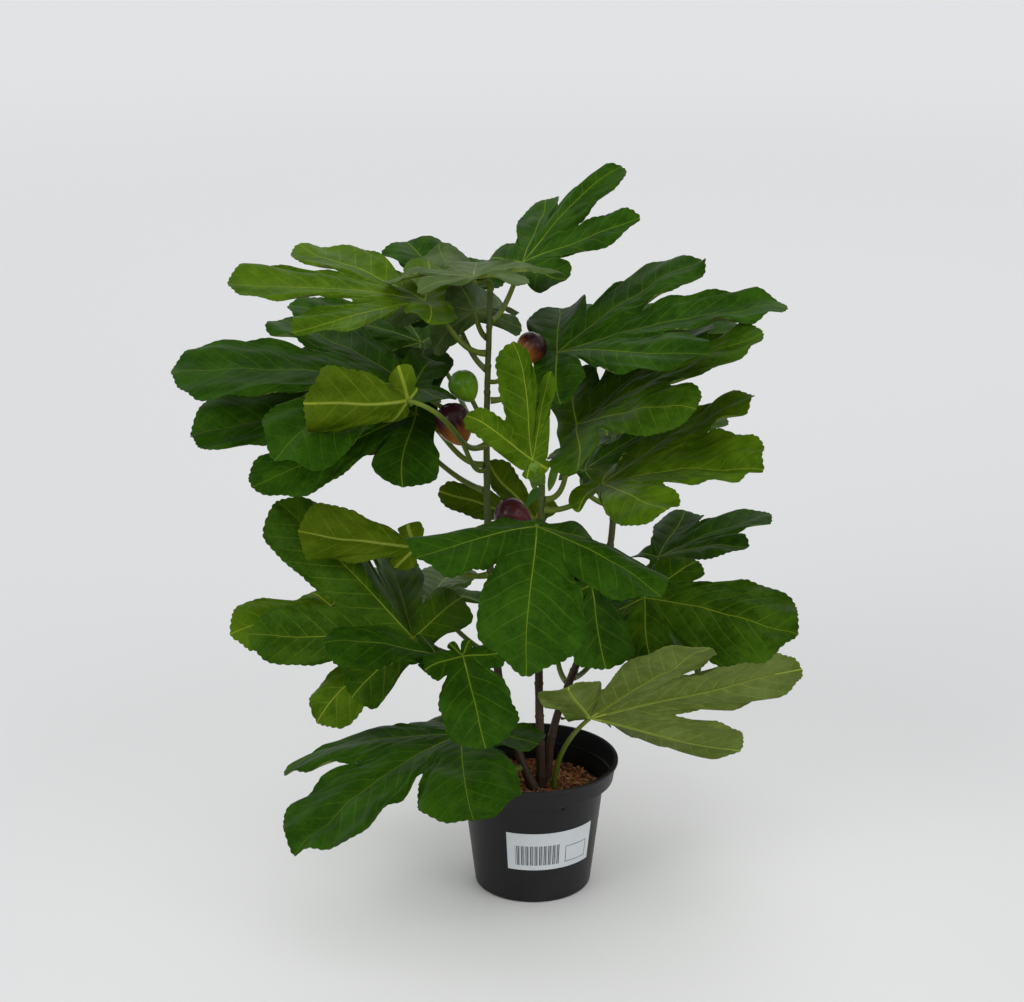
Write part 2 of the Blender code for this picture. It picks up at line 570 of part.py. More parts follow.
def blade(leaf):
    """Closed thin blade: the bent sheet's upper and lower face and the rim between them."""
    angles, radii = mould_outline(MOULDS[leaf["mould"]])
    count = len(angles)
    sheet = [np.zeros((1, 3))] + [bent(angles, radii * share, leaf) for share in LEAF_RINGS]
    sheet = laid(np.vstack(sheet), leaf)
    top = []
    for k in range(count):
        n = (k + 1) % count
        top.append((0, 1 + n, 1 + k))
        for r in range(len(LEAF_RINGS) - 1):
            low, high = 1 + r * count, 1 + (r + 1) * count
            top.append((low + k, low + n, high + k))
            top.append((low + n, high + n, high + k))
    corners = np.array(top)
    first, second, third = sheet[corners].transpose(1, 0, 2)
    across = np.cross(second - first, third - first)
    normals = np.zeros_like(sheet)
    for corner in range(3):
        np.add.at(normals, corners[:, corner], across)
    normals /= np.linalg.norm(normals, axis=1)[:, None]
    half = max(THINNEST_LEAF, LEAF_THICKNESS * leaf_frame(leaf)[0]) / 2
    size = len(sheet)
    faces = list(top) + [(c + size, b + size, a + size) for a, b, c in top]
    edge = 1 + (len(LEAF_RINGS) - 1) * count
    for k in range(count):
        a, b = edge + k, edge + (k + 1) % count
        faces.append((a, b, b + size))
        faces.append((a, b + size, a + size))
    return np.vstack([sheet + normals * half, sheet - normals * half]), faces


def petiole(leaf):
    """Stalk from its limb to the blade, which it reaches from below."""
    joint = np.array(leaf["joint"])
    if leaf["stem"] == "soil":
        start, outward = np.array([*leaf["foot"], SOIL_TOP + GAP]), np.array([0.0, 0.0, 1.0])
    else:
        start, outward = leave_limb(leaf["stem"], leaf["height"], joint)
    ahead, _, up = leaf_frame(leaf)[1]
    reach = np.linalg.norm(joint - start) * PETIOLE_PULL
    arrive = unit(ahead + PETIOLE_FROM_BELOW * up)
    path = bezier(start, start + outward * reach, joint - arrive * reach, joint, PETIOLE_STEPS)
    radii = np.linspace(PETIOLE_FOOT_RADIUS, PETIOLE_TIP_RADIUS, PETIOLE_STEPS)
    return tube(path, radii, PETIOLE_SIDES, outward)


def build_leaf(name, leaf, material):
    leaf_object = add_object(name, *blade(leaf), material)
    stalk = add_object(name + "_petiole", *petiole(leaf), material)
    boolean(leaf_object, stalk, "UNION")
    return leaf_object


# Figs

def build_fig(name, fig, material):
    """Stalk and pear-shaped fruit in one turned body along a bent line."""
    neck, eye = np.array(fig["neck"]), np.array(fig["eye"])
    start, outward = leave_limb(fig["stem"], fig["height"], neck)
    axis = unit(eye - neck)
    reach = np.linalg.norm(neck - start) * PETIOLE_PULL
    stalk = bezier(start, start + outward * reach, neck - axis * reach, neck, FIG_STALK_RINGS)
    share = np.linspace(0, 1, FIG_BODY_RINGS + 1)[1:]
    body = neck + share[:, None] * (eye - neck)
    width = fig["radius"] * np.sqrt(np.maximum(1 - (2 * share ** FIG_BELLY - 1) ** 2, 0))
    width[-1] = FIG_EYE * fig["radius"]
    radii = np.concatenate([np.full(FIG_STALK_RINGS, FIG_STALK_RADIUS), width])
    vertices, faces = tube(np.vstack([stalk, body]), radii, FIG_SIDES, outward)
    return add_object(name, vertices, faces, material, 60)


def main():
    remove_old_objects()
    build_pot()
    build_soil()
    build_label()
    bark = new_material("stem_bark")
    for name in (*STEMS, *BOUGHS):
        build_limb(name, bark)
    deep, light = new_material("leaf_deep"), new_material("leaf_light")
    for name, leaf in LEAVES.items():
        build_leaf(name, leaf, light if name in LIGHT_LEAVES else deep)
    purple = new_material("fig_purple_skin")
    skins = {"fig_green": new_material("fig_green_skin"), "fig_red": new_material("fig_red_skin")}
    for name, fig in FIGS.items():
        build_fig(name, fig, skins.get(name, purple))


main()
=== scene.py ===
import math

import bpy
import numpy as np
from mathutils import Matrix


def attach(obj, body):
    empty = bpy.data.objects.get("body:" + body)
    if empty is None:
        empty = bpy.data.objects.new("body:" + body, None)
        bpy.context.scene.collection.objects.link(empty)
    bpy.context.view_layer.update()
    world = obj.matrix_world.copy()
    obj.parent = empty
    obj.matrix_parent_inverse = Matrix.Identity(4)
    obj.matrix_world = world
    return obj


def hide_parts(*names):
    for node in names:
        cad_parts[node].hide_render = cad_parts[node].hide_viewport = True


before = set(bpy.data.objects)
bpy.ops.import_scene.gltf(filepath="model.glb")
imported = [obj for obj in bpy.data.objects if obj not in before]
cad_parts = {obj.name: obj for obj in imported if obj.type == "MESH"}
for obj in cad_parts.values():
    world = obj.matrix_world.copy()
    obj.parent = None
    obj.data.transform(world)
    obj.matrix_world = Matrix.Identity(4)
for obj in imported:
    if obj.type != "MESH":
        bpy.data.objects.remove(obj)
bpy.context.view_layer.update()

body = "root"
gap = 0.0003
print("frame loaded:", len(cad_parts), "nodes")

# camera and floor stand where the photo has them: the pot's axis is x = y = 0 and the floor z = 0
cameraSet = {"place": (-0.0198, -2.005, 1.030), "pitch": 71.98, "sensor": 36.0, "focalPixels": 2324.0,
             "imageWidth": 1024.0, "reach": 200.0}


def addCamera(c):
    data = bpy.data.cameras.new("camera")
    data.sensor_width = c["sensor"]
    data.lens = c["sensor"] * c["focalPixels"] / c["imageWidth"]
    data.clip_end = c["reach"]
    camera = bpy.data.objects.new("camera", data)
    camera.location = c["place"]
    camera.rotation_euler = (math.radians(c["pitch"]), 0.0, 0.0)
    bpy.context.scene.collection.objects.link(camera)
    bpy.context.scene.camera = camera


addCamera(cameraSet)


# small helpers for vectors, curves and meshes

def unitRows(v):  # each row divided by its own length
    v = np.asarray(v, float)
    return v / np.maximum(np.linalg.norm(v, axis=-1, keepdims=True), 1e-12)


def ease(x):  # 3x^2 - 2x^3 between 0 and 1
    x = np.clip(x, 0.0, 1.0)
    return x * x * (3.0 - 2.0 * x)


def smoothRoute(route, perSpan):
    # Catmull-Rom: each span is half of 2b + (c-a)t + (2a-5b+4c-d)t^2 + (3b-a-3c+d)t^3
    p = np.array(route, float)
    q = np.vstack([2 * p[0] - p[1], p, 2 * p[-1] - p[-2]])
    t = np.linspace(0, 1, perSpan, endpoint=False)[None, :, None]
    a, b, c, d = (q[i:len(q) - 3 + i, None, :] for i in range(4))
    straight, square = 2 * b + (c - a) * t, (2 * a - 5 * b + 4 * c - d) * t ** 2
    spans = 0.5 * (straight + square + (3 * b - a - 3 * c + d) * t ** 3)
    return np.vstack([spans.reshape(-1, 3), p[-1:]])


def bezierCurve(p0, p1, p2, p3, steps):
    # cubic: (1-t)^3 p0 + 3(1-t)^2 t p1 + 3(1-t) t^2 p2 + t^3 p3
    t = np.linspace(0, 1, steps)[:, None]
    r = 1 - t
    return r ** 3 * p0 + 3 * r ** 2 * t * p1 + 3 * r * t ** 2 * p2 + t ** 3 * p3


def ringBand(rings, sides):
    # quads between rings that follow each other, each ring closed on itself
    i = np.arange(rings - 1)[:, None] * sides
    k = np.arange(sides)[None, :]
    n = (k + 1) % sides
    return np.stack([i + k, i + n, i + sides + n, i + sides + k], -1).reshape(-1, 4)


def fan(centre, ring, flip=False):
    # triangles from one point to a closed ring, -1 marks the missing fourth corner
    nxt = np.roll(ring, -1)
    a, b = (nxt, ring) if flip else (ring, nxt)
    return np.stack([np.full(len(ring), centre), a, b, np.full(len(ring), -1)], -1)


def capped(points, rings, sides, first, last):
    # the faces of rings that follow each other, with a fan at each end round the points first and last
    count = rings * sides
    ends = [fan(count, np.arange(sides), True), fan(count + 1, np.arange(count - sides, count))]
    return np.vstack([points, [first, last]]), np.vstack([ringBand(rings, sides), *ends])


def turns(sides):  # even angles round a circle
    return np.arange(sides) * 2 * math.pi / sides


def sweep(path, radius, sides):
    # tube: ring k is path[k] + radius (cos u side + sin u other), side carried along without turning
    path = np.asarray(path, float)
    ahead = unitRows(np.gradient(path, axis=0))
    side = np.zeros_like(path)
    first = np.cross(ahead[0], (0.0, 0.0, 1.0) if abs(ahead[0][2]) < 0.9 else (1.0, 0.0, 0.0))
    side[0] = unitRows(first)
    for k in range(1, len(path)):
        side[k] = unitRows(side[k - 1] - ahead[k] * side[k - 1].dot(ahead[k]))
    other = np.cross(ahead, side)
    u = turns(sides)
    radius = np.broadcast_to(np.asarray(radius, float).reshape(len(path), -1), (len(path), sides))
    ring = np.cos(u)[None, :, None] * side[:, None] + np.sin(u)[None, :, None] * other[:, None]
    points = (path[:, None] + radius[..., None] * ring).reshape(-1, 3)
    points, faces = capped(points, len(path), sides, path[0], path[-1])
    along = np.repeat(np.linspace(0, 1, len(path)), sides)
    around = np.tile(np.arange(sides) / sides, len(path))
    spot = np.vstack([np.stack([along, around], -1), [[0, 0], [1, 0]]])
    return points, faces, spot


def addPiece(name, points, faces, materials, pick=None, layers=None, sharp=None):
    # faces hold four corners, the last -1 in a triangle; pick is the material of each face, layers are
    # corner uv maps, and edges sharper than the angle sharp stay hard
    corners = faces[faces >= 0]
    size = np.where(faces[:, 3] < 0, 3, 4)
    mesh = bpy.data.meshes.new(name)
    mesh.vertices.add(len(points))
    mesh.vertices.foreach_set("co", np.asarray(points, np.float32).ravel())
    mesh.loops.add(len(corners))
    mesh.loops.foreach_set("vertex_index", corners.astype(np.int32))
    mesh.polygons.add(len(faces))
    mesh.polygons.foreach_set("loop_start", (np.cumsum(size) - size).astype(np.int32))
    if pick is not None:
        mesh.polygons.foreach_set("material_index", np.asarray(pick, np.int32))
    for layerName, values in (layers or {}).items():
        mesh.uv_layers.new(name=layerName).data.foreach_set("uv", np.asarray(values, np.float32).ravel())
    for material in materials:
        mesh.materials.append(material)
    mesh.update(calc_edges=True)
    mesh.validate()
    mesh.shade_smooth()
    if sharp:
        mesh.set_sharp_from_angle(angle=math.radians(sharp))
    piece = bpy.data.objects.new(name, mesh)
    bpy.context.scene.collection.objects.link(piece)
    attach(piece, body)
    return piece


# material helpers: nodes are made by kind, with their inputs given by name or number

class Shader:
    def __init__(self, name):
        self.material = bpy.data.materials.new(name)
        self.material.use_nodes = True
        self.nodes = self.material.node_tree.nodes
        self.links = self.material.node_tree.links
        self.base = self.nodes["Principled BSDF"]

    def node(self, kind, inputs=None, **settings):
        made = self.nodes.new(kind)
        for key, value in settings.items():
            setattr(made, key, value)
        for key, value in (inputs or {}).items():
            self.feed(made.inputs[key], value)
        return made

    def feed(self, socket, value):
        if isinstance(value, bpy.types.NodeSocket):
            self.links.new(value, socket)
        else:
            socket.default_value = value

    def math(self, operation, a, b=0.0, c=None):
        made = self.node("ShaderNodeMath", {0: a, 1: b}, operation=operation)
        if c is not None:
            self.feed(made.inputs[2], c)
        return made.outputs[0]

    def times(self, a, b):
        return self.math("MULTIPLY", a, b)

    def scaled(self, value, by, more):  # value x by + more
        return self.math("MULTIPLY_ADD", value, by, more)

    def less(self, a, b):
        return self.math("SUBTRACT", a, b)

    def plus(self, a, b):
        return self.math("ADD", a, b)

    def joined(self, x, y, z):
        return self.node("ShaderNodeCombineXYZ", {0: x, 1: y, 2: z}).outputs[0]

    def band(self, value, low, high, start=0.0, end=1.0):  # eased step from start to end between low and high
        inputs = {"Value": value, "From Min": low, "From Max": high, "To Min": start, "To Max": end}
        return self.node("ShaderNodeMapRange", inputs, interpolation_type="SMOOTHSTEP").outputs[0]

    def mix(self, share, first, second):
        made = self.node("ShaderNodeMix", data_type="RGBA")
        for socket, value in zip((made.inputs[0], made.inputs[6], made.inputs[7]), (share, first, second)):
            self.feed(socket, value)
        return made.outputs[2]

    def noise(self, where, scale, detail, rough=0.55):
        inputs = {"Vector": where, "Scale": scale, "Detail": detail, "Roughness": rough}
        return self.node("ShaderNodeTexNoise", inputs).outputs["Fac"]

    def place(self):
        return self.node("ShaderNodeTexCoord").outputs["Object"]

    def uv(self, layer):
        split = self.node("ShaderNodeSeparateXYZ", {0: self.node("ShaderNodeUVMap", uv_map=layer).outputs[0]})
        return split.outputs[0], split.outputs[1]

    def finish(self, color, roughness, height=None, depth=0.0005, strength=0.6, **constant):
        self.feed(self.base.inputs["Base Color"], color)
        self.feed(self.base.inputs["Roughness"], roughness)
        for key, value in constant.items():
            self.base.inputs[key.replace("_", " ")].default_value = value
        if height is not None:
            bump = self.node("ShaderNodeBump", {"Strength": strength, "Distance": depth, "Height": height})
            self.links.new(bump.outputs[0], self.base.inputs["Normal"])
        return self.material


def rgb(r, g, b):
    return (r, g, b, 1.0)


# pot: turned black plastic with a rim band, an inner ledge and four small slots under the band
pot = {"height": 0.125, "rim": 0.080, "base": 0.0545, "shoulder": 0.067, "band": 0.0195, "wall": 0.0015,
       "corner": 0.003, "round": 0.0010, "bandStep": 0.0085, "lip": 0.0018, "lipRound": 0.0008,
       "recess": 0.0008, "recessFrom": 0.80, "recessTo": 0.83, "inset": 0.0012, "innerRow": 0.080,
       "innerFloor": 0.010, "wallRows": 16, "rowClear": 0.002, "columns": 360, "columnClear": 0.35,
       "slotAngles": (24.0, 114.0, 204.0, 294.0), "slotWidth": 2.4, "slotHeight": 0.0042,
       "slotBelowBand": 0.0052, "slotDepth": 0.0011, "slotRows": (-1.12, -1.0, 1.0, 1.12),
       "slotColumns": (-1.1, -1.0, 1.0, 1.1), "slotShare": 1.95, "outside": 0.0004, "sharp": 34,
       "rimSlope": ((0.0020, 0.0050), (0.0006, 0.0036), (0.0, 0.0028))}


def wallRadius(z):  # straight taper from the foot to the shoulder
    return pot["base"] + (pot["shoulder"] - pot["base"]) * z / (pot["height"] - pot["band"])


def arcPoints(centre, radius, start, end, steps):  # centre + radius (cos a, sin a) from start to end degrees
    a = np.radians(np.linspace(start, end, steps))
    return [(centre[0] + radius * math.cos(x), centre[1] + radius * math.sin(x)) for x in a]


def potProfile():
    # (radius, height) from the middle of the underside, up the outside and down the inside to the inner floor
    top, wall, corner, small = pot["height"], pot["wall"], pot["corner"], pot["round"]
    rim, inset = pot["rim"], pot["inset"]
    bandFoot = top - pot["band"]
    bandRadius = pot["shoulder"] + pot["bandStep"]
    slotMiddle = bandFoot - pot["slotBelowBand"]
    slotRows = [slotMiddle + s * pot["slotHeight"] / 2 for s in pot["slotRows"]]
    plain = np.linspace(corner, slotRows[0] - pot["rowClear"], pot["wallRows"])
    rows = sorted([*plain, *slotRows, bandFoot - inset])
    outside = [(0.0, pot["recess"]), (pot["base"] * pot["recessFrom"], pot["recess"])]
    outside += [(pot["base"] * pot["recessTo"], 0.0)]
    outside += arcPoints((wallRadius(corner) - corner, corner), corner, -90, 0, 8)
    outside += [(wallRadius(z), z) for z in rows[1:]]
    outside += arcPoints((bandRadius - small, bandFoot + small), small, -90, 0, 6)
    outside += [(rim - inwards, top - down) for inwards, down in pot["rimSlope"]]
    outside += arcPoints((rim - small, top - small), small, 0, 90, 6)
    lip = pot["lipRound"]
    inside = arcPoints((rim - pot["lip"] - lip, top - lip), lip, 90, 180, 5)
    inside += [(bandRadius - wall, bandFoot + wall + small), (bandRadius - wall - small, bandFoot + wall)]
    inside += [(pot["shoulder"] - wall, bandFoot - inset + wall)]
    inside += [(wallRadius(pot["innerRow"]) - wall, pot["innerRow"])]
    inside += [(wallRadius(pot["innerFloor"]) - 2 * wall, pot["innerFloor"]), (0.0, pot["innerFloor"])]
    return outside + inside


def slottedColumns():  # even columns, with a close pair at each side of each slot
    step = np.linspace(0, 360, pot["columns"], endpoint=False)
    edges = [a + s * pot["slotWidth"] / 2 for a in pot["slotAngles"] for s in pot["slotColumns"]]
    away = np.min(np.abs(step[:, None] - np.array(edges)[None, :]), axis=1) > pot["columnClear"]
    return np.sort(np.concatenate([step[away], edges]))


def buildPot(material):
    # turned body: (r sin u, -r cos u, z) for each profile point (r, z), pressed in at the slots
    profile = np.array(potProfile())
    degrees = slottedColumns()
    u = np.radians(degrees)
    r = np.repeat(profile[1:-1, 0][:, None], len(u), 1)
    z = np.repeat(profile[1:-1, 1][:, None], len(u), 1)
    middle = pot["height"] - pot["band"] - pot["slotBelowBand"]
    turn = np.min(np.abs(degrees[:, None] - np.array(pot["slotAngles"])[None, :]), axis=1)
    outer = r > wallRadius(z) - pot["outside"]
    within = np.abs(z - middle) < pot["slotHeight"] / pot["slotShare"]
    within = within & (turn < pot["slotWidth"] / pot["slotShare"])[None, :] & outer
    r = r - pot["slotDepth"] * within
    points = np.stack([r * np.sin(u), -r * np.cos(u), z], -1).reshape(-1, 3)
    points, faces = capped(points, len(r), len(u), (0, 0, profile[0, 1]), (0, 0, profile[-1, 1]))
    piece = addPiece("potShell", points, faces, [material], sharp=pot["sharp"])
    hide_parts("pot")


def potPlastic():
    s = Shader("potPlastic")
    place = s.place()
    cloud = s.noise(place, 34.0, 4.0)
    dust = s.band(s.noise(place, 9.0, 5.0, 0.6), 0.52, 0.80)
    grain = s.noise(place, 900.0, 2.0)
    color = s.mix(cloud, rgb(0.006, 0.006, 0.0065), rgb(0.011, 0.011, 0.0115))
    color = s.mix(s.times(dust, 0.25), color, rgb(0.032, 0.031, 0.030))
    rough = s.plus(s.times(cloud, 0.14), s.scaled(dust, 0.10, 0.34))
    return s.finish(color, rough, grain, 0.00012, 0.35, Specular_IOR_Level=0.23)


buildPot(potPlastic())
print("pot done")

# filling: a rough bed with loose wood and coir chips, dealt out in four plain colours
filling = {"top": 0.096, "clear": 0.0023, "rings": 40, "columns": 120, "roughness": 0.0033, "drop": 0.0016,
           "edgeDrop": 0.0012, "under": 0.082, "underShare": 0.97, "bedSeed": 7,
           "waves": (0.031, 0.017, 0.011, 0.0074, 0.0051, 0.0047)}
chips = {"seed": 41, "count": 560, "fromRim": 0.003, "sink": 0.0010, "rise": (-0.0008, 0.0016),
         "length": (0.0022, 0.0062), "width": (0.0010, 0.0026), "thick": (0.0005, 0.0012),
         "wear": (0.72, 1.0), "tip": 0.38, "roll": 0.45, "sharp": 40,
         "colors": {"chipsRed": (0.430, 0.135, 0.042), "chipsBrown": (0.250, 0.086, 0.030),
                    "chipsDark": (0.070, 0.030, 0.016), "chipsTan": (0.520, 0.260, 0.120)}}


def lumps(x, y, seed, waves, reach):
    # sum of sines of random heading and phase, from long to short waves, about +-1
    rng = np.random.default_rng(seed)
    total = np.zeros_like(x)
    for wave in waves:
        heading, phase = rng.uniform(0, 2 * math.pi, 2)
        total = total + np.sin((x * math.cos(heading) + y * math.sin(heading)) * 2 * math.pi / wave + phase)
    return total * reach / len(waves)


def buildBed(material):
    # polar grid over the pot's inside: height top - drop + lumps - edgeDrop share^6, closed by a flat base
    outer = wallRadius(filling["top"]) - filling["clear"]
    share = np.linspace(0, 1, filling["rings"] + 1)[1:, None]
    u = turns(filling["columns"])[None, :]
    x, y = outer * share * np.cos(u), outer * share * np.sin(u)
    bump = lumps(x, y, filling["bedSeed"], filling["waves"], filling["roughness"])
    z = filling["top"] - filling["drop"] + bump - filling["edgeDrop"] * (share ** 6)
    points = np.stack([x, y, z], -1).reshape(-1, 3)
    reach = outer * filling["underShare"]
    low = np.stack([reach * np.cos(u[0]), reach * np.sin(u[0]), np.full(u.shape[1], filling["under"])], -1)
    ends = (0, 0, z[0].mean()), (0, 0, filling["under"])
    points, faces = capped(np.vstack([points, low]), filling["rings"] + 1, filling["columns"], *ends)
    piece = addPiece("fillingBed", points, faces, [material])
    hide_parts("soil")


def chipCloud(rng, count):
    # each chip is a bent box of eight corners: centre + lengthwise, crosswise and upright halves, then turned
    outer = wallRadius(filling["top"]) - filling["clear"] - chips["fromRim"]
    reach = outer * np.sqrt(rng.uniform(0, 1, count))
    turn = rng.uniform(0, 2 * math.pi, count)
    centre = np.stack([reach * np.cos(turn), reach * np.sin(turn), np.zeros(count)], -1)
    centre[:, 2] = filling["top"] - chips["sink"] + rng.uniform(*chips["rise"], count)
    half = np.stack([rng.uniform(*chips[k], count) / 2 for k in ("length", "width", "thick")], -1)
    corner = np.array([(x, y, z) for z in (-1, 1) for y in (-1, 1) for x in (-1, 1)], float)
    local = corner[None] * half[:, None] * rng.uniform(*chips["wear"], (count, 8, 3))
    heading = rng.uniform(0, 2 * math.pi, count)
    tip, roll = rng.normal(0, chips["tip"], count), rng.normal(0, chips["roll"], count)
    ahead = np.stack([np.cos(heading) * np.cos(tip), np.sin(heading) * np.cos(tip), np.sin(tip)], -1)
    level = np.stack([-np.sin(heading), np.cos(heading), np.zeros(count)], -1)
    up = np.cross(ahead, level)
    left = level * np.cos(roll)[:, None] + up * np.sin(roll)[:, None]
    rows = np.stack([ahead, left, np.cross(ahead, left)], 1)
    return centre[:, None] + np.einsum("nij,njk->nik", local, rows)


def buildChips(name, color, share):
    points = chipCloud(np.random.default_rng(chips["seed"] + share), chips["count"])
    box = np.array([(0, 2, 3, 1), (4, 5, 7, 6), (0, 1, 5, 4), (1, 3, 7, 5), (3, 2, 6, 7), (2, 0, 4, 6)])
    faces = (np.arange(len(points))[:, None, None] * 8 + box[None]).reshape(-1, 4)
    s = Shader(name)
    material = s.finish(rgb(*color), 0.88, s.noise(s.place(), 700.0, 3.0), 0.0002, 0.5)
    piece = addPiece(name, points.reshape(-1, 3), faces, [material], sharp=chips["sharp"])
    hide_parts("soil")


def bedEarth():
    s = Shader("bedEarth")
    place = s.place()
    fine, coarse = s.noise(place, 620.0, 4.0, 0.7), s.noise(place, 150.0, 3.0)
    color = s.mix(s.band(fine, 0.35, 0.68), rgb(0.100, 0.036, 0.015), rgb(0.400, 0.135, 0.045))
    color = s.mix(s.times(coarse, 0.4), color, rgb(0.090, 0.036, 0.018))
    return s.finish(color, 0.95, fine, 0.0009, 0.9)


buildBed(bedEarth())
for step, (chipName, chipColor) in enumerate(chips["colors"].items()):
    buildChips(chipName, chipColor, step)
print("filling done")

# sticker: a curved sheet of paper on the wall with plain bars and an empty ruled frame, no lettering
sticker = {"arc": 0.086, "height": 0.039, "middle": 0.056, "bearing": 17.0, "clear": gap, "thick": 0.00022,
           "ink": 0.00006, "inkSunk": 0.00002, "columns": 90, "bars": 30, "barsFrom": 0.09, "barsTo": 0.58,
           "barsLow": 0.13, "barsHigh": 0.66, "barWidths": (0.0035, 0.0068, 0.0102),
           "frame": (0.65, 0.93, 0.14, 0.58), "frameColumns": 24, "line": 0.0006, "sharp": 30}


def onWall(share, height, clear):
    # share 0 to 1 across the sticker, height 0 to 1 up it: (r sin a, -r cos a, z), r wall radius + clear
    half = sticker["arc"] / wallRadius(sticker["middle"]) / 2
    a = math.radians(sticker["bearing"]) - half + 2 * half * share
    z = sticker["middle"] + (height - 0.5) * sticker["height"]
    r = wallRadius(z) + clear
    return np.stack([r * np.sin(a), -r * np.cos(a), z], -1)


def patch(x0, x1, y0, y1, low, high, columns):
    # closed thin plate: four corner rows carried round the wall
    x = np.linspace(x0, x1, columns)
    rows = [onWall(x, np.full(columns, y), c) for y, c in ((y0, low), (y0, high), (y1, high), (y1, low))]
    points = np.stack(rows, 1).reshape(-1, 3)
    band = ringBand(columns, 4)
    ends = np.array([[3, 2, 1, 0], [4 * columns - 4, 4 * columns - 3, 4 * columns - 2, 4 * columns - 1]])
    return points, np.vstack([band, ends])[:, ::-1]


def joinParts(parts):  # one array of points and one of faces from several, with the corner numbers shifted
    shift = np.cumsum([0] + [len(p) for p, _ in parts])[:-1]
    faces = [np.where(f < 0, -1, f + s) for (_, f), s in zip(parts, shift)]
    return np.vstack([p for p, _ in parts]), np.vstack(faces)


def buildSticker(paper, ink):
    top = sticker["clear"] + sticker["thick"]
    points, faces = patch(0, 1, 0, 1, sticker["clear"], top, sticker["columns"])
    sheet = addPiece("stickerPaper", points, faces, [paper], sharp=sticker["sharp"])
    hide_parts("label")
    low, high = top - sticker["inkSunk"], top + sticker["ink"]
    foot, head, parts = sticker["barsLow"], sticker["barsHigh"], []
    k = np.arange(sticker["bars"])
    left = sticker["barsFrom"] + (sticker["barsTo"] - sticker["barsFrom"]) * k / sticker["bars"]
    for i, x in enumerate(left):
        width = sticker["barWidths"][(5 * i * i + 3 * i) % 3]
        parts.append(patch(x, x + width, foot, head, low, high, 3))
    x0, x1, y0, y1 = sticker["frame"]
    across, up = sticker["line"] / sticker["arc"], sticker["line"] / sticker["height"]
    for y in (y0, y1 - up):
        parts.append(patch(x0, x1, y, y + up, low, high, sticker["frameColumns"]))
    for x in (x0, x1 - across):
        parts.append(patch(x, x + across, y0 + up, y1 - up, low, high, 3))
    points, faces = joinParts(parts)
    printed = addPiece("stickerBars", points, faces, [ink], sharp=sticker["sharp"])
    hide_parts("label")


def stickerPaper():
    s = Shader("stickerPaper")
    place = s.place()
    fibre = s.noise(place, 420.0, 4.0, 0.65)
    stain = s.band(s.noise(place, 60.0, 2.0), 0.45, 0.75)
    color = s.mix(s.times(stain, 0.35), rgb(0.52, 0.545, 0.565), rgb(0.46, 0.485, 0.505))
    return s.finish(color, s.scaled(fibre, 0.15, 0.42), fibre, 0.00006, 0.4)


def stickerInk():
    s = Shader("stickerInk")
    wear = s.noise(s.place(), 900.0, 3.0)
    color = s.mix(s.band(wear, 0.55, 0.85), rgb(0.030, 0.030, 0.034), rgb(0.110, 0.110, 0.118))
    return s.finish(color, 0.5)


buildSticker(stickerPaper(), stickerInk())
print("sticker done")

# stems and bough: the same routes as the solids, with rings at the nodes and long shallow ridges
stems = {
    "front_stem": {"foot": 0.0042, "tip": 0.0030,
                   "route": [(0.008, 0.000, 0.0963), (0.005, -0.005, 0.217), (0.006, -0.015, 0.330),
                             (0.007, -0.020, 0.405)]},
    "tall_stem": {"foot": 0.0042, "tip": 0.0024,
                  "route": [(0.001, -0.010, 0.0963), (-0.014, 0.000, 0.130), (-0.031, 0.014, 0.190),
                            (-0.040, 0.020, 0.304), (-0.043, 0.020, 0.430), (-0.039, 0.018, 0.569)]},
    "back_stem": {"foot": 0.0040, "tip": 0.0026,
                  "route": [(0.013, 0.018, 0.0963), (0.020, 0.024, 0.145), (0.036, 0.036, 0.190),
                            (0.067, 0.055, 0.272), (0.080, 0.085, 0.400), (0.080, 0.098, 0.460)]},
    "left_bough": {"from": ("tall_stem", 0.189), "foot": 0.0028, "tip": 0.0024,
                   "route": [(-0.052, 0.000, 0.209), (-0.070, -0.014, 0.227), (-0.086, -0.024, 0.241)]},
}
bark = {"flare": 1.35, "flareHeight": 0.012, "sides": 28, "step": 0.0012, "spanSteps": 5, "firstNode": 0.012,
        "nodeStep": 0.031, "nodeStray": 0.004, "nodeSwell": 0.00055, "nodeWidth": 0.0016, "nodeDip": 0.45,
        "dipPlace": 1.5, "dipWidth": 2.2, "ridge": 0.00012, "fine": 0.6, "wander": (9, 31, 140),
        "nodeReach": 0.004, "seed": 20, "sharp": 60}


def stemPath(name):
    stem = stems[name]
    route = list(stem["route"])
    if "from" in stem:
        route.insert(0, leaveStem(*stem["from"], route[0])[0])
    return smoothRoute(route, bark["spanSteps"])


def stemRadius(name, path):  # straight taper with height, and a flare at the soil
    stem = stems[name]
    rise = (path[:, 2] - path[0, 2]) / (path[-1, 2] - path[0, 2])
    radius = stem["foot"] + (stem["tip"] - stem["foot"]) * rise
    if "from" in stem:
        return radius
    above = np.clip((path[:, 2] - path[0, 2]) / bark["flareHeight"], 0, 1)
    return radius * (bark["flare"] + (1 - bark["flare"]) * above)


def leaveStem(name, height, towards):
    # where a petiole starts: on the bark, a gap clear, on the side that faces its blade
    path = stemPath(name)
    if height is None:
        ahead = unitRows(path[-1] - path[-2])
        return path[-1] + ahead * gap, ahead
    zs = height + bark["nodeReach"] * np.array([-1, 0, 1])
    below, centre, above = (np.array([np.interp(z, path[:, 2], path[:, i]) for i in range(3)]) for z in zs)
    along = unitRows(above - below)
    outward = np.asarray(towards) - centre
    outward = unitRows(outward - along * outward.dot(along))
    return centre + outward * (np.interp(height, path[:, 2], stemRadius(name, path)) + gap), outward


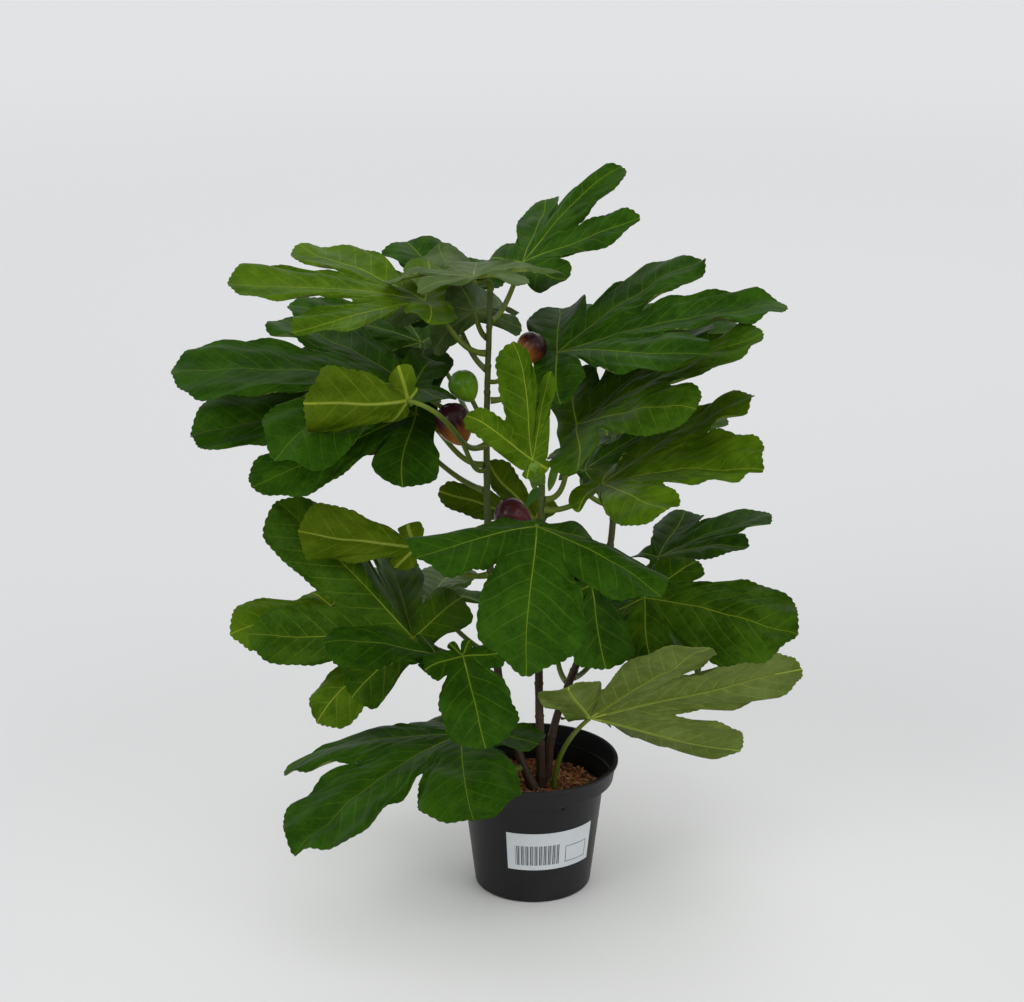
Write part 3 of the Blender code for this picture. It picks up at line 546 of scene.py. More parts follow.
def buildStem(name, material, seed):
    # radius along the route + a swelling and a dip at each node + ridges sin(5u + ..) and sin(11u + ..)
    coarse = stemPath(name)
    length = np.concatenate([[0], np.cumsum(np.linalg.norm(np.diff(coarse, axis=0), axis=1))])
    at = np.linspace(0, length[-1], int(length[-1] / bark["step"]))
    path = np.stack([np.interp(at, length, coarse[:, i]) for i in range(3)], -1)
    path[1:-1] = (path[:-2] + path[1:-1] * 2 + path[2:]) / 4
    radius = np.interp(at, length, stemRadius(name, coarse))
    even = np.arange(bark["firstNode"], length[-1], bark["nodeStep"])
    stray = np.random.default_rng(seed).uniform(-bark["nodeStray"], bark["nodeStray"], len(even))
    off = (at[:, None] - (even + stray)[None, :]) / bark["nodeWidth"]
    dip = bark["nodeDip"] * np.exp(-(off - bark["dipPlace"]) ** 2 * bark["dipWidth"])
    swell = (np.exp(-off ** 2) - dip).sum(1) * bark["nodeSwell"]
    u, up = turns(bark["sides"])[None, :], at[:, None]
    sway, slow, quick = bark["wander"]
    ridges = np.sin(5 * u + sway * np.sin(up * slow)) + bark["fine"] * np.sin(11 * u + up * quick)
    thick = radius[:, None] + swell[:, None] + bark["ridge"] * ridges
    points, faces, _ = sweep(path, thick, bark["sides"])
    piece = addPiece(name + "_bark", points, faces, [material], sharp=bark["sharp"])
    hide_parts(name)


def stemBark():
    s = Shader("stemBark")
    place = s.place()
    height = s.node("ShaderNodeSeparateXYZ", {0: place}).outputs[2]
    stretch = s.node("ShaderNodeMapping", {"Vector": place, "Scale": (1.0, 1.0, 0.10)}).outputs[0]
    streak = s.noise(stretch, 520.0, 4.0, 0.6)
    patchy = s.noise(place, 70.0, 3.0)
    wander = s.plus(height, s.times(s.less(patchy, 0.5), 0.09))
    brown = s.mix(streak, rgb(0.020, 0.012, 0.008), rgb(0.075, 0.047, 0.028))
    green = s.mix(streak, rgb(0.030, 0.044, 0.009), rgb(0.085, 0.115, 0.024))
    color = s.mix(s.band(wander, 0.24, 0.40), brown, green)
    return s.finish(color, s.scaled(streak, 0.2, 0.46), streak, 0.0004, 0.6, Specular_IOR_Level=0.2)


stemMaterial = stemBark()
for step, stemName in enumerate(stems):
    buildStem(stemName, stemMaterial, bark["seed"] + step)
print("stems done")

# leaves: the same table as the solids, carried to a fine blade with teeth, veins and a petiole
moulds = {
    "broad": {"notch": 0.10, "bays": [0.30, 0.42],
              "lobes": [(102, 0.46, 0.16), (50, 0.86, 0.22), (0, 1.0, 0.27)]},
    "three": {"notch": 0.08, "bays": [0.24, 0.46],
              "lobes": [(115, 0.26, 0.11), (52, 0.84, 0.22), (0, 1.0, 0.33)]},
    "wide": {"notch": 0.10, "bays": [0.34, 0.46],
              "lobes": [(106, 0.44, 0.15), (54, 0.86, 0.25), (0, 1.0, 0.34)]},
    "palm": {"notch": 0.08, "bays": [0.22, 0.46],
              "lobes": [(118, 0.22, 0.09), (52, 0.90, 0.24), (0, 1.0, 0.38)]},
    "long": {"notch": 0.06, "bays": [0.16, 0.48],
              "lobes": [(150, 0.15, 0.05), (42, 0.74, 0.13), (0, 1.0, 0.25)]},
    "shield": {"notch": 0.07, "bays": [0.24, 0.58],
              "lobes": [(145, 0.20, 0.07), (75, 0.46, 0.20), (0, 1.0, 0.45)]},
    "egg": {"notch": 0.06, "bays": [0.20, 0.52],
              "lobes": [(140, 0.14, 0.05), (72, 0.34, 0.15), (0, 1.0, 0.41)]},
    "oval": {"notch": 0.06, "bays": [0.17, 0.47],
              "lobes": [(142, 0.13, 0.05), (70, 0.28, 0.12), (0, 1.0, 0.37)]},
}
# a lobe's end: share of its length, share of its half width
lobeEnd = ((0.61, 0.84), (0.87, 0.90), (1.0, 0.0), (0.87, -0.90), (0.61, -0.84))


def leafRow(stem, start, joint, tip, lift, roll=0, mould="broad", spread=(1, 1), curl=-15, look="deep"):
    # start is the height on the stem, none for its tip, or the petiole's foot (x, y) in the soil; lift is one
    # angle per lobe from left to right
    return {"stem": stem, "start": start, "joint": joint, "tip": tip, "lift": lift, "roll": roll,
            "mould": mould, "spread": spread, "curl": curl, "look": look}


leaves = {
    "leaf_top": leafRow("tall_stem", 0.54, (-0.01, 0.074, 0.582), (0.082, 0.139, 0.659),
        (-15, -13, 0, 6, 10), roll=10, spread=(0.8, 0.8), curl=-10),
    # leaf_flat and leaf_behind_top take the greyer look, a painted sheen
    "leaf_flat": leafRow("tall_stem", None, (-0.053, -0.033, 0.592), (-0.052, 0.076, 0.576),
        (6, 3, 0, 3, 8), roll=-3, spread=(1.1, 1.1), curl=-25, look="paintedSheenGrey"),
    "leaf_behind_top": leafRow("tall_stem", 0.525, (-0.054, 0.035, 0.546), (-0.088, 0.135, 0.583),
        (-20, -7, 0, -32, -20), roll=-12, curl=-30, look="paintedSheenGrey"),
    # the bright look here is painted light: a lighter green where the leaf is lit from above
    "leaf_left_high": leafRow("tall_stem", 0.511, (-0.097, 0.01, 0.561), (-0.268, -0.018, 0.581),
        (25, 5, 0, -5, 6), roll=-18, spread=(0.67, 0.93), look="bright"),
    "leaf_left_high_back": leafRow("tall_stem", 0.495, (-0.077, 0.1, 0.541), (-0.122, 0.19, 0.579),
        (0, 0, 0, 0, -5), roll=-3, mould="wide", curl=-20),
    "leaf_left_mid_back": leafRow("tall_stem", 0.448, (-0.11, 0.02, 0.478), (-0.327, 0, 0.495),
        (30, 5, 0, 0, 15), roll=-15, mould="three", spread=(0.95, 0.95), curl=-20),
    "leaf_left_mid": leafRow("tall_stem", 0.406, (-0.107, 0.018, 0.454), (-0.31, 0.008, 0.438),
        (15, 10, 0, -10, 5), roll=-34, mould="wide", spread=(0.55, 0.9), curl=-20),
    "leaf_left_light": leafRow("tall_stem", 0.425, (-0.109, -0.085, 0.496), (-0.196, -0.125, 0.503),
        (0, 5, 0, 10, 0), roll=72, mould="egg", curl=20, look="olive"),
    "leaf_left_far": leafRow("tall_stem", 0.432, (-0.107, 0.165, 0.484), (-0.236, 0.203, 0.513),
        (0, -10, 0, 0, 0), roll=-10),
    "leaf_left_low": leafRow("left_bough", None, (-0.11, -0.025, 0.254), (-0.238, 0.041, 0.365),
        (-30, -20, 0, -40, -20), roll=-37, spread=(0.8, 0.8), curl=-10, look="mid"),
    "leaf_left_under": leafRow("tall_stem", 0.3, (-0.107, -0.015, 0.338), (-0.213, -0.03, 0.361),
        (0, 0, 0, 0, 5), roll=70, mould="oval", spread=(0.9, 0.9), curl=-10, look="olive"),
    "leaf_left_low_back": leafRow("tall_stem", 0.215, (-0.191, 0.055, 0.255), (-0.284, 0.02, 0.242),
        (0, 0, 0, -5, 0), roll=-30, mould="oval", spread=(0.9, 0.9), look="pale"),
    "leaf_left_drop": leafRow("left_bough", 0.215, (-0.143, 0.02, 0.217), (-0.201, -0.01, 0.165),
        (0, 0, 0, 0, 0), roll=-30, mould="egg", spread=(0.9, 0.9), look="pale"),
    "leaf_left_fold": leafRow("left_bough", 0.227, (-0.088, -0.055, 0.25), (-0.187, -0.075, 0.265),
        (0, 0, 0, 5, -5), roll=-15, mould="oval", spread=(0.9, 0.9)),
    "leaf_round_low": leafRow("left_bough", 0.205, (-0.064, -0.064, 0.252), (-0.044, -0.119, 0.188),
        (0, 25, 0, 10, 5), mould="shield", curl=-20),
    "leaf_left_foot": leafRow("tall_stem", 0.117, (-0.068, -0.025, 0.158), (-0.21, -0.156, 0.106),
        (10, 5, 0, 5, 5), roll=9, mould="wide", spread=(1, 0.95), curl=-25),
    "leaf_right_foot": leafRow("soil", (0.02, -0.006), (0.0525, -0.006, 0.166), (0.2525, -0.015, 0.222),
        (50, 10, 0, -15, -15), roll=-63, spread=(0.92, 0.85), curl=-10, look="under"),
    "leaf_front": leafRow("front_stem", 0.312, (0.002, -0.065, 0.375), (-0.007, -0.193, 0.291),
        (-15, 15, 0, 15, -24), roll=-11, mould="wide", spread=(1.02, 1.02), curl=-20),
    "leaf_right_high": leafRow("tall_stem", 0.467, (0.021, 0.02, 0.511), (0.225, 0.01, 0.554),
        (10, 7, 0, 10, 5), roll=10, spread=(0.78, 0.8)),
    "leaf_right_second": leafRow("front_stem", 0.385, (0.038, -0.019, 0.455), (0.201, -0.044, 0.545),
        (15, -4, 0, 6, 8), roll=15, mould="wide", spread=(0.72, 0.72), look="mid"),
    "leaf_right_third": leafRow("front_stem", 0.376, (0.06, -0.039, 0.406), (0.194, -0.144, 0.454),
        (15, 8, 0, 6, 10), roll=20, mould="palm", spread=(0.68, 0.62), look="pale"),
    "leaf_right_dark": leafRow("back_stem", 0.35, (0.047, 0.041, 0.394), (0.111, 0.076, 0.425),
        (0, -5, 0, 0, 0)),
    "leaf_right_low": leafRow("back_stem", 0.23, (0.103, 0.012, 0.2795), (0.238, -0.045, 0.266),
        (0, 0, 0, -12, 0), roll=27, mould="shield", spread=(0.85, 0.85), look="mid"),
    "leaf_right_low_back": leafRow("back_stem", 0.28, (0.121, 0.104, 0.287), (0.233, 0.142, 0.316),
        (5, 0, 0, 15, 5), roll=2, mould="three"),
    "leaf_right_hang": leafRow("front_stem", 0.265, (0.052, -0.026, 0.306), (0.066, -0.06, 0.236),
        (0, 0, 0, 0, 0), roll=-4, mould="shield"),
    "leaf_right_drop": leafRow("back_stem", 0.215, (0.102, 0.074, 0.255), (0.161, 0.069, 0.182),
        (-5, 0, 0, 0, -5), roll=10),
    "leaf_young": leafRow("front_stem", None, (-0.002, -0.076, 0.44), (-0.02, -0.087, 0.55),
        (0, 10, 0, 0, 0), roll=-110, mould="long", spread=(1, 0.5), curl=10, look="bright"),
    # the olive look here is painted light: a lighter green standing in for light shining through the leaf
    # from behind
    "leaf_olive": leafRow("front_stem", 0.3, (0.002, 0.055, 0.341), (-0.09, 0.07, 0.364),
        (-5, 0, 0, 0, 0), roll=63, curl=-10, look="olive"),
    "leaf_back_right_high": leafRow("back_stem", 0.44, (0.063, 0.115, 0.495), (0.17, 0.235, 0.505),
        (-5, 0, 0, 5, -5)),
    "leaf_back_right_mid": leafRow("back_stem", 0.36, (0.075, 0.149, 0.381), (0.186, 0.259, 0.38),
        (-5, 5, 0, 5, 0), look="mid"),
    "leaf_back_left_mid": leafRow("tall_stem", 0.38, (-0.126, 0.12, 0.415), (-0.241, 0.23, 0.409),
        (0, 0, 0, 0, 0)),
    "leaf_back_left_low": leafRow("tall_stem", 0.22, (-0.099, 0.1, 0.245), (-0.205, 0.22, 0.232),
        (5, 0, 0, 0, 0), roll=3, look="mid"),
    "leaf_back_low": leafRow("back_stem", 0.185, (0.027, 0.105, 0.222), (0.06, 0.22, 0.227),
        (-5, 0, 0, -5, 0)),
    "leaf_back_right_low": leafRow("back_stem", 0.19, (0.086, 0.124, 0.205), (0.194, 0.234, 0.195),
        (5, 0, 0, -5, 0)),
}
leafSet = {"thick": 0.0008, "rings": 34, "ringCrowd": 0.86, "lastRing": 0.975, "raysPerLength": 42.0,
           "usualLength": 0.2, "fewestRays": 3, "edgeSteps": 3, "spanPull": 0.42, "bayPull": 0.85,
           "uneven": 0.03, "unevenSpread": 0.6, "outerThird": 0.7, "blunt": (0.76, 0.98), "sway": 5.0,
           "spreadFrom": 50, "swaySeed": 900, "toneSeed": 500, "sharp": 50}
teeth = {"pitch": 0.0078, "depth": 0.0014, "level": 0.64, "from": 0.30, "fade": 0.20, "warp": 0.25,
         "warpWaves": 7}
relief = {"ripple": 0.0022, "rippleWaves": (0.043, 0.071), "secondRipple": 0.6, "channel": 0.022,
          "channelFade": 0.45, "channelWidth": 0.010, "bulge": 0.0016, "pucker": 0.00045, "puckerFrom": 0.009,
          "swell": 0.0011, "swellWaves": (0.085, 0.060, 0.045), "puckerEnd": 8, "puckerRise": 4,
          "bulgeRise": 3, "swellRise": 1.4}
veinSet = {"pitch": 0.018, "lean": 0.80, "bend": 5.0, "ribFoot": 0.0015, "ribTip": 0.0004, "ribReach": 0.93,
           "ribShare": 0.55, "ribOut": 0.25, "ribSides": 6}
petioleSet = {"foot": 0.0028, "tip": 0.0020, "pull": 0.35, "fromBelow": 0.6, "sides": 12, "steps": 22,
              "swell": 0.0006, "swellShare": 0.06}
soilTop = 0.096


def lobesOf(mould):  # the lobes and their mirror images, from left to right
    return mould["lobes"] + [(-a, length, width) for a, length, width in mould["lobes"][-2::-1]]


def mouldPoints(mould, narrowed=(1.0,) * 9):
    # control points as shares of the blade's length: each lobe's end turned to its angle, and a bay point
    # between two lobes; narrowed scales the half width of each lobe's outer third
    points, lobes = [(-mould["notch"], 0.0)], lobesOf(mould)
    bays = mould["bays"] + mould["bays"][::-1]
    for i, (angle, length, width) in enumerate(lobes):
        c, s = math.cos(math.radians(angle)), math.sin(math.radians(angle))
        outer = [(a, b * (narrowed[i] if a > leafSet["outerThird"] else 1.0)) for a, b in lobeEnd]
        points += [(a * length * c - b * width * s, a * length * s + b * width * c) for a, b in outer]
        if i < len(bays):
            nextAngle, nextLength, nextWidth = lobes[i + 1]
            left = angle - math.degrees(math.atan2(width, length * lobeEnd[0][0]))
            right = nextAngle + math.degrees(math.atan2(nextWidth, nextLength * lobeEnd[0][0]))
            middle = math.radians((left + right) / 2)
            points.append((bays[i] * math.cos(middle), bays[i] * math.sin(middle)))
    return np.array(points)


def closedCurve(points, counts, pull):
    # closed Hermite curve through the points, tangent pull (next - previous), counts[i] samples on span i
    samples = []
    for i, n in enumerate(counts):
        a, b, c, d = (points[(i + j) % len(points)] for j in (-1, 0, 1, 2))
        t = np.linspace(0, 1, n, endpoint=False)[:, None]
        m, k = (c - a) * pull[i], (d - b) * pull[(i + 1) % len(points)]
        cube, square = t ** 3, t ** 2
        samples.append((2 * cube - 3 * square + 1) * b + (cube - 2 * square + t) * m
                       + (3 * square - 2 * cube) * c + (cube - square) * k)
    return np.vstack(samples)


def betweenLobes(angles, lobeAngles, values):
    # each lobe's value on its axis, eased from lobe to lobe; also the share of the way from one to the next
    stops = np.concatenate([[lobeAngles[-1] - 360], lobeAngles, [lobeAngles[0] + 360]])
    levels = np.concatenate([[values[-1]], values, [values[0]]])
    span = np.clip(np.searchsorted(stops, angles) - 1, 0, len(stops) - 2)
    share = (angles - stops[span]) / (stops[span + 1] - stops[span])
    k = ease(share)
    return levels[span] * (1 - k) + levels[span + 1] * k, share


def bent(angles, radii, leaf, raised=0.0):
    # each ray is an arc that starts at the lift and curls: out = (sin end - sin lift)/curl,
    # up = (cos lift - cos end)/curl; lobes bow sideways by sway * 4q (1 - q) at the share q of their length
    lobes = lobesOf(moulds[leaf["mould"]])[::-1]
    lobeAngles = np.array([a for a, _, _ in lobes], float)
    lift = np.radians(betweenLobes(angles, lobeAngles, np.array(leaf["lift"][::-1], float))[0])
    length = betweenLobes(angles, lobeAngles, np.array([length for _, length, _ in lobes]))[0]
    curl = np.radians(leaf["curl"]) / length
    end = lift + curl * radii
    out, up = (np.sin(end) - np.sin(lift)) / curl, (np.cos(lift) - np.cos(end)) / curl
    spread = np.where(angles > 0, *leaf["spread"])
    near = np.clip((np.abs(angles) - leafSet["spreadFrom"]) / (180 - leafSet["spreadFrom"]), 0, 1)
    turn = np.radians(angles * (spread + (1 - spread) * near))
    if "sway" in leaf:
        q = np.clip(radii / length, 0, 1)
        turn = turn + np.radians(betweenLobes(angles, lobeAngles, leaf["sway"])[0]) * 4 * q * (1 - q)
    return np.stack([out * np.cos(turn), out * np.sin(turn), up + raised], -1)


def leafFrame(leaf):
    # blade length, the rows ahead, left and up, and the tilt that lays the middle lobe from joint to tip
    joint, tip = np.array(leaf["joint"]), np.array(leaf["tip"])
    middle = bent(np.array([0.0]), np.array([1.0]), leaf)[0]
    length = np.linalg.norm(tip - joint) / math.hypot(middle[0], middle[2])
    ahead = unitRows(tip - joint)
    level = unitRows(np.cross((0.0, 0.0, 1.0), ahead))
    above = np.cross(ahead, level)
    roll = math.radians(leaf["roll"])
    left = level * math.cos(roll) + above * math.sin(roll)
    up = above * math.cos(roll) - level * math.sin(roll)
    return length, np.stack([ahead, left, up]), math.atan2(middle[2], middle[0])


def laid(points, leaf):  # bent blade points to their place on the plant
    length, rows, tilt = leafFrame(leaf)
    x, y, z = (points * length).T
    c, s = math.cos(tilt), math.sin(tilt)
    return np.stack([x * c + z * s, y, z * c - x * s], -1) @ rows + np.array(leaf["joint"])


def nearestLobe(angles, mould):
    # angle of the lobe whose sector holds the ray; every sixth control point is a bay and ends a sector
    points = mouldPoints(mould)
    bays = np.degrees(np.arctan2(points[6:-1:6, 1], points[6:-1:6, 0]))
    sector = np.sum(angles[:, None] < bays[None, :], axis=1)
    return np.array([a for a, _, _ in lobesOf(mould)], float)[sector]


def veinSpot(angles, radii, lobe, length):  # metres along the lobe's midrib and, signed, across it
    off = np.radians(angles - lobe)
    return radii * length * np.cos(off), radii * length * np.sin(off)


def pillow(along, across):  # 1 between two side veins, 0 on them, faded in from the midrib
    side = np.abs(across)
    lean = along - veinSet["lean"] * side - veinSet["bend"] * side ** 2
    phase = lean / veinSet["pitch"] + 0.5 * (across > 0)
    return (0.5 + 0.5 * np.cos(2 * math.pi * phase)) * ease(side / relief["puckerFrom"])


def vertexNormals(points, faces):  # sum of the normals of the faces around each vertex
    corner = faces[:, :3]
    first = points[corner[:, 0]]
    normal = np.cross(points[corner[:, 1]] - first, points[corner[:, 2]] - first)
    total = np.zeros_like(points)
    for k in range(4):
        use = faces[:, k] >= 0
        for axis in range(3):
            total[:, axis] += np.bincount(faces[use, k], normal[use, axis], len(points))
    return unitRows(total)


def toothed(fine, length, rng):
    # the fine outline moved outwards by depth (|sin(pi run/pitch)| - level), away from the joint only
    step = np.linalg.norm(np.roll(fine, -1, 0) - fine, axis=1) * length
    run = np.concatenate([[0], np.cumsum(step)[:-1]])
    along = unitRows(np.roll(fine, -1, 0) - np.roll(fine, 1, 0))
    outward = np.stack([-along[:, 1], along[:, 0]], -1)
    outward = outward * np.sign(np.sum(outward * fine, 1).mean())
    reach = np.hypot(*fine.T)
    strength = ease((reach / reach.max() - teeth["from"]) / teeth["fade"])
    pitch = step.sum() / round(step.sum() / teeth["pitch"])
    stray = np.sin(2 * math.pi * teeth["warpWaves"] * run / step.sum() + rng.uniform(0, 6))
    warp = run + teeth["warp"] * pitch * stray
    tooth = (np.abs(np.sin(math.pi * warp / pitch)) - teeth["level"]) * teeth["depth"] * strength / length
    return fine + outward * tooth[:, None], run


def reliefOf(mould, length, rng):
    # edge ripple + a channel along each midrib + pillows between the side veins + long swells
    lobeAngles = np.array([a for a, _, _ in lobesOf(mould)][::-1], float)
    wave, headings = rng.uniform(0, 2 * math.pi, 3), rng.uniform(0, math.pi, 3)

    def raised(a, r, share, run):  # as shares of the blade's length
        first, second = (np.sin(2 * math.pi * run / w + wave[i]) for i, w in enumerate(relief["rippleWaves"]))
        fold = np.abs(np.sin(math.pi * betweenLobes(a, lobeAngles, lobeAngles)[1]))
        up, side = veinSpot(a, r, nearestLobe(a, mould), length)
        pillows = pillow(up, side) * (1 - share ** relief["puckerEnd"]) * ease(share * relief["puckerRise"])
        bulge = (1 - np.exp(-(side / relief["channelWidth"]) ** 2)) * ease(share * relief["bulgeRise"])
        x, y = r * length * np.cos(np.radians(a)), r * length * np.sin(np.radians(a))
        long = sum(np.sin((x * math.cos(h) + y * math.sin(h)) * 2 * math.pi / w + h * 5)
                   for h, w in zip(headings, relief["swellWaves"]))
        small = relief["ripple"] * (first + relief["secondRipple"] * second) * share ** 3
        small = small + relief["pucker"] * pillows + relief["bulge"] * bulge
        small = small + relief["swell"] * long * ease(share * relief["swellRise"])
        return small / length + relief["channel"] * fold * r * (1 - relief["channelFade"] * share)

    return raised


def bladeSheet(leaf, seed):
    # grid of rays and rings about the joint, with a last ring three times as fine that carries the teeth
    mould = moulds[leaf["mould"]]
    length = leafFrame(leaf)[0]
    rng = np.random.default_rng(seed)
    control = mouldPoints(mould, rng.uniform(*leafSet["blunt"], len(lobesOf(mould))))
    stray = np.clip(rng.normal(0, leafSet["unevenSpread"], len(control)), -1, 1)
    control = control * (1 + leafSet["uneven"] * stray)[:, None]
    chord = np.linalg.norm(np.roll(control, -1, 0) - control, axis=1)
    density = leafSet["raysPerLength"] * math.sqrt(length / leafSet["usualLength"])
    counts = np.maximum(leafSet["fewestRays"], np.round(chord * density)).astype(int)
    pull = np.where(np.arange(len(control)) % 6 == 0, leafSet["bayPull"], leafSet["spanPull"])
    flat = closedCurve(control, counts, pull)
    fine, run = toothed(closedCurve(control, counts * leafSet["edgeSteps"], pull), length, rng)
    raised = reliefOf(mould, length, rng)
    angles, radii = np.degrees(np.arctan2(flat[:, 1], flat[:, 0])), np.hypot(*flat.T)
    angles[0] = 180.0
    edgeAngles, edgeRadii = np.degrees(np.arctan2(fine[:, 1], fine[:, 0])), np.hypot(*fine.T)
    count, rings = len(angles), leafSet["rings"]
    shares = np.linspace(0, 1, rings + 2)[1:-1] ** leafSet["ringCrowd"] * leafSet["lastRing"]
    coarse = run[::leafSet["edgeSteps"]]
    rows = [laid(bent(angles, radii * q, leaf, raised(angles, radii * q, q, coarse)), leaf) for q in shares]
    edge = laid(bent(edgeAngles, edgeRadii, leaf, raised(edgeAngles, edgeRadii, 1.0, run)), leaf)
    points = np.vstack(rows + [edge, [leaf["joint"]]])
    # faces of the rings, then three round each step of the fine edge, then the fan at the joint
    last, k = (rings - 1) * count, np.arange(count)
    n, rim = (k + 1) % count, rings * count
    o = rim + 3 * k
    after = rim + (3 * k + 3) % (3 * count)
    none = np.full(count, -1)
    faces = np.vstack([ringBand(rings, count)[:, ::-1], np.stack([last + k, o, o + 1, none], -1),
                       np.stack([last + k, o + 1, o + 2, last + n], -1),
                       np.stack([last + n, o + 2, after, none], -1), fan(len(points) - 1, k)])
    ray = np.concatenate([np.tile(k, rings - 1), k, k, k, k])
    a = np.concatenate([np.tile(angles, rings), edgeAngles, [0.0]])
    r = np.concatenate([(radii[None] * shares[:, None]).ravel(), edgeRadii, [0.0]])
    share = np.concatenate([np.repeat(shares, count), np.ones(3 * count), [0.0]])
    between = (angles + np.concatenate([angles[1:], [-180.0]])) / 2
    return points, faces, nearestLobe(between, mould)[ray], a, r, share, (length, angles, shares, count)


def ribPaths(points, normals, mould, info):
    # one rib per lobe: the sheet's points on the lobe's ray, moved out to the underside
    _, angles, shares, count = info
    for angle, lobeLength, _ in lobesOf(mould):
        k = int(np.argmin(np.abs(angles - angle)))
        rows = np.arange(1, int(len(shares) * veinSet["ribReach"])) * count + k
        size = veinSet["ribFoot"] * (veinSet["ribShare"] + (1 - veinSet["ribShare"]) * lobeLength)
        radius = size + (veinSet["ribTip"] - size) * shares[1:len(rows) + 1]
        away = leafSet["thick"] / 2 + radius[:, None] * veinSet["ribOut"]
        yield points[rows] - normals[rows] * away, radius


def petiolePath(leaf):
    joint = np.array(leaf["joint"])
    if leaf["stem"] == "soil":
        start, outward = np.array([*leaf["start"], soilTop + gap]), np.array([0.0, 0.0, 1.0])
    else:
        start, outward = leaveStem(leaf["stem"], leaf["start"], joint)
    ahead, _, up = leafFrame(leaf)[1]
    reach = np.linalg.norm(joint - start) * petioleSet["pull"]
    arrive = unitRows(ahead + petioleSet["fromBelow"] * up)
    return bezierCurve(start, start + outward * reach, joint - arrive * reach, joint, petioleSet["steps"])


def flipped(faces):  # the same faces seen from behind
    return np.where(faces[:, 3:4] < 0, faces[:, [0, 2, 1, 3]], faces[:, ::-1])


def thickened(leaf, sheet, faces, normals, count):
    # the sheet moved half its thickness to each side, with a rim of quads along the edge
    size, half = len(sheet), leafSet["thick"] / 2
    edge = leafSet["rings"] * count + np.arange(3 * count)
    rim = np.stack([edge, np.roll(edge, -1), np.roll(edge, -1) + size, edge + size], -1)
    under = flipped(faces)
    under = np.where(under < 0, -1, under + size)
    points = np.vstack([sheet + normals * half, sheet - normals * half])
    centre, r = points[rim].mean(1), points[rim]
    out = np.cross(r[:, 1] - r[:, 0], r[:, 3] - r[:, 0])
    if np.sum(out * (centre - np.array(leaf["joint"])), 1).mean() < 0:
        rim = rim[:, ::-1]
    return points, np.vstack([faces, under, rim])


def buildLeaf(name, leaf, seed, materials):
    sheet, faces, lobe, angles, radii, share, info = bladeSheet(leaf, seed)
    length, _, _, count = info
    normals = vertexNormals(sheet, faces)
    if np.sum(normals * leafFrame(leaf)[1][2], 1).mean() < 0:
        faces, normals = flipped(faces), -normals
    parts = [thickened(leaf, sheet, faces, normals, count)]
    for path, radius in ribPaths(sheet, normals, moulds[leaf["mould"]], info):
        parts.append(sweep(path, radius, veinSet["ribSides"])[:2])
    path = petiolePath(leaf)
    t = np.linspace(0, 1, len(path))
    swell = petioleSet["swell"] * np.exp(-(t / petioleSet["swellShare"]) ** 2)
    thick = petioleSet["foot"] + (petioleSet["tip"] - petioleSet["foot"]) * t + swell
    parts.append(sweep(path, thick, petioleSet["sides"])[:2])
    points, allFaces = joinParts(parts)
    blades, size = len(faces), len(sheet)
    ribs, petiole = sum(len(f) for _, f in parts[1:-1]), len(parts[-1][1])
    rim = len(parts[0][1]) - 2 * blades
    pick = np.repeat([0, 1, 0, 3, 2], [blades, blades, rim, ribs, petiole])
    # corner coordinates: along and across the midrib in decimetres; share from the centre and the leaf's tone
    corners = allFaces[allFaces >= 0]
    owner = np.repeat(np.arange(len(allFaces)), np.where(allFaces[:, 3] < 0, 3, 4))
    vertex = np.concatenate([np.tile(np.arange(size), 2), np.full(len(points) - 2 * size, size - 1)])[corners]
    lobeOfFace = np.concatenate([lobe, lobe, np.zeros(len(allFaces) - 2 * blades)])
    along, across = veinSpot(angles[vertex], radii[vertex], lobeOfFace[owner], length)
    tone = np.random.default_rng(seed + leafSet["toneSeed"]).uniform(0, 1)
    layers = {"veins": np.stack([along, across], -1) * 10.0,
              "spot": np.stack([share[vertex], np.full(len(vertex), tone)], -1)}
    piece = addPiece(name + "_leaf", points, allFaces, materials, pick, layers, sharp=leafSet["sharp"])
    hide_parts(name)


# each look: dark and light tone of the face, its veins, roughness and how much the veins show
looks = {
    "deep": (rgb(0.009, 0.034, 0.001), rgb(0.023, 0.070, 0.003), rgb(0.150, 0.240, 0.018), 0.46, 0.72),
    "mid": (rgb(0.015, 0.046, 0.001), rgb(0.036, 0.086, 0.004), rgb(0.210, 0.290, 0.020), 0.42, 0.75),
    # bright: the young leaf's own light green; on leaf_left_high it is also painted light, lighter where the
    # leaf is lit from above
    "bright": (rgb(0.028, 0.070, 0.001), rgb(0.063, 0.126, 0.004), rgb(0.250, 0.330, 0.030), 0.42, 0.75),
    "pale": (rgb(0.030, 0.074, 0.001), rgb(0.066, 0.130, 0.004), rgb(0.290, 0.370, 0.030), 0.44, 0.75),
    # olive: the underside's own light olive green; on leaf_olive it is also painted light, standing in for
    # light shining through the leaf
    "olive": (rgb(0.034, 0.070, 0.001), rgb(0.066, 0.108, 0.004), rgb(0.250, 0.300, 0.024), 0.55, 0.80),
    # painted sheen: a greyer, bluer copy of the leaf green that stands in for the grey sheen reflected off
    # the top leaves
    "paintedSheenGrey": (rgb(0.032, 0.062, 0.012), rgb(0.070, 0.112, 0.032), rgb(0.170, 0.220, 0.060), 0.46, 0.45),
    "under": (rgb(0.085, 0.125, 0.020), rgb(0.130, 0.175, 0.040), rgb(0.330, 0.410, 0.060), 0.60, 1.0),
}


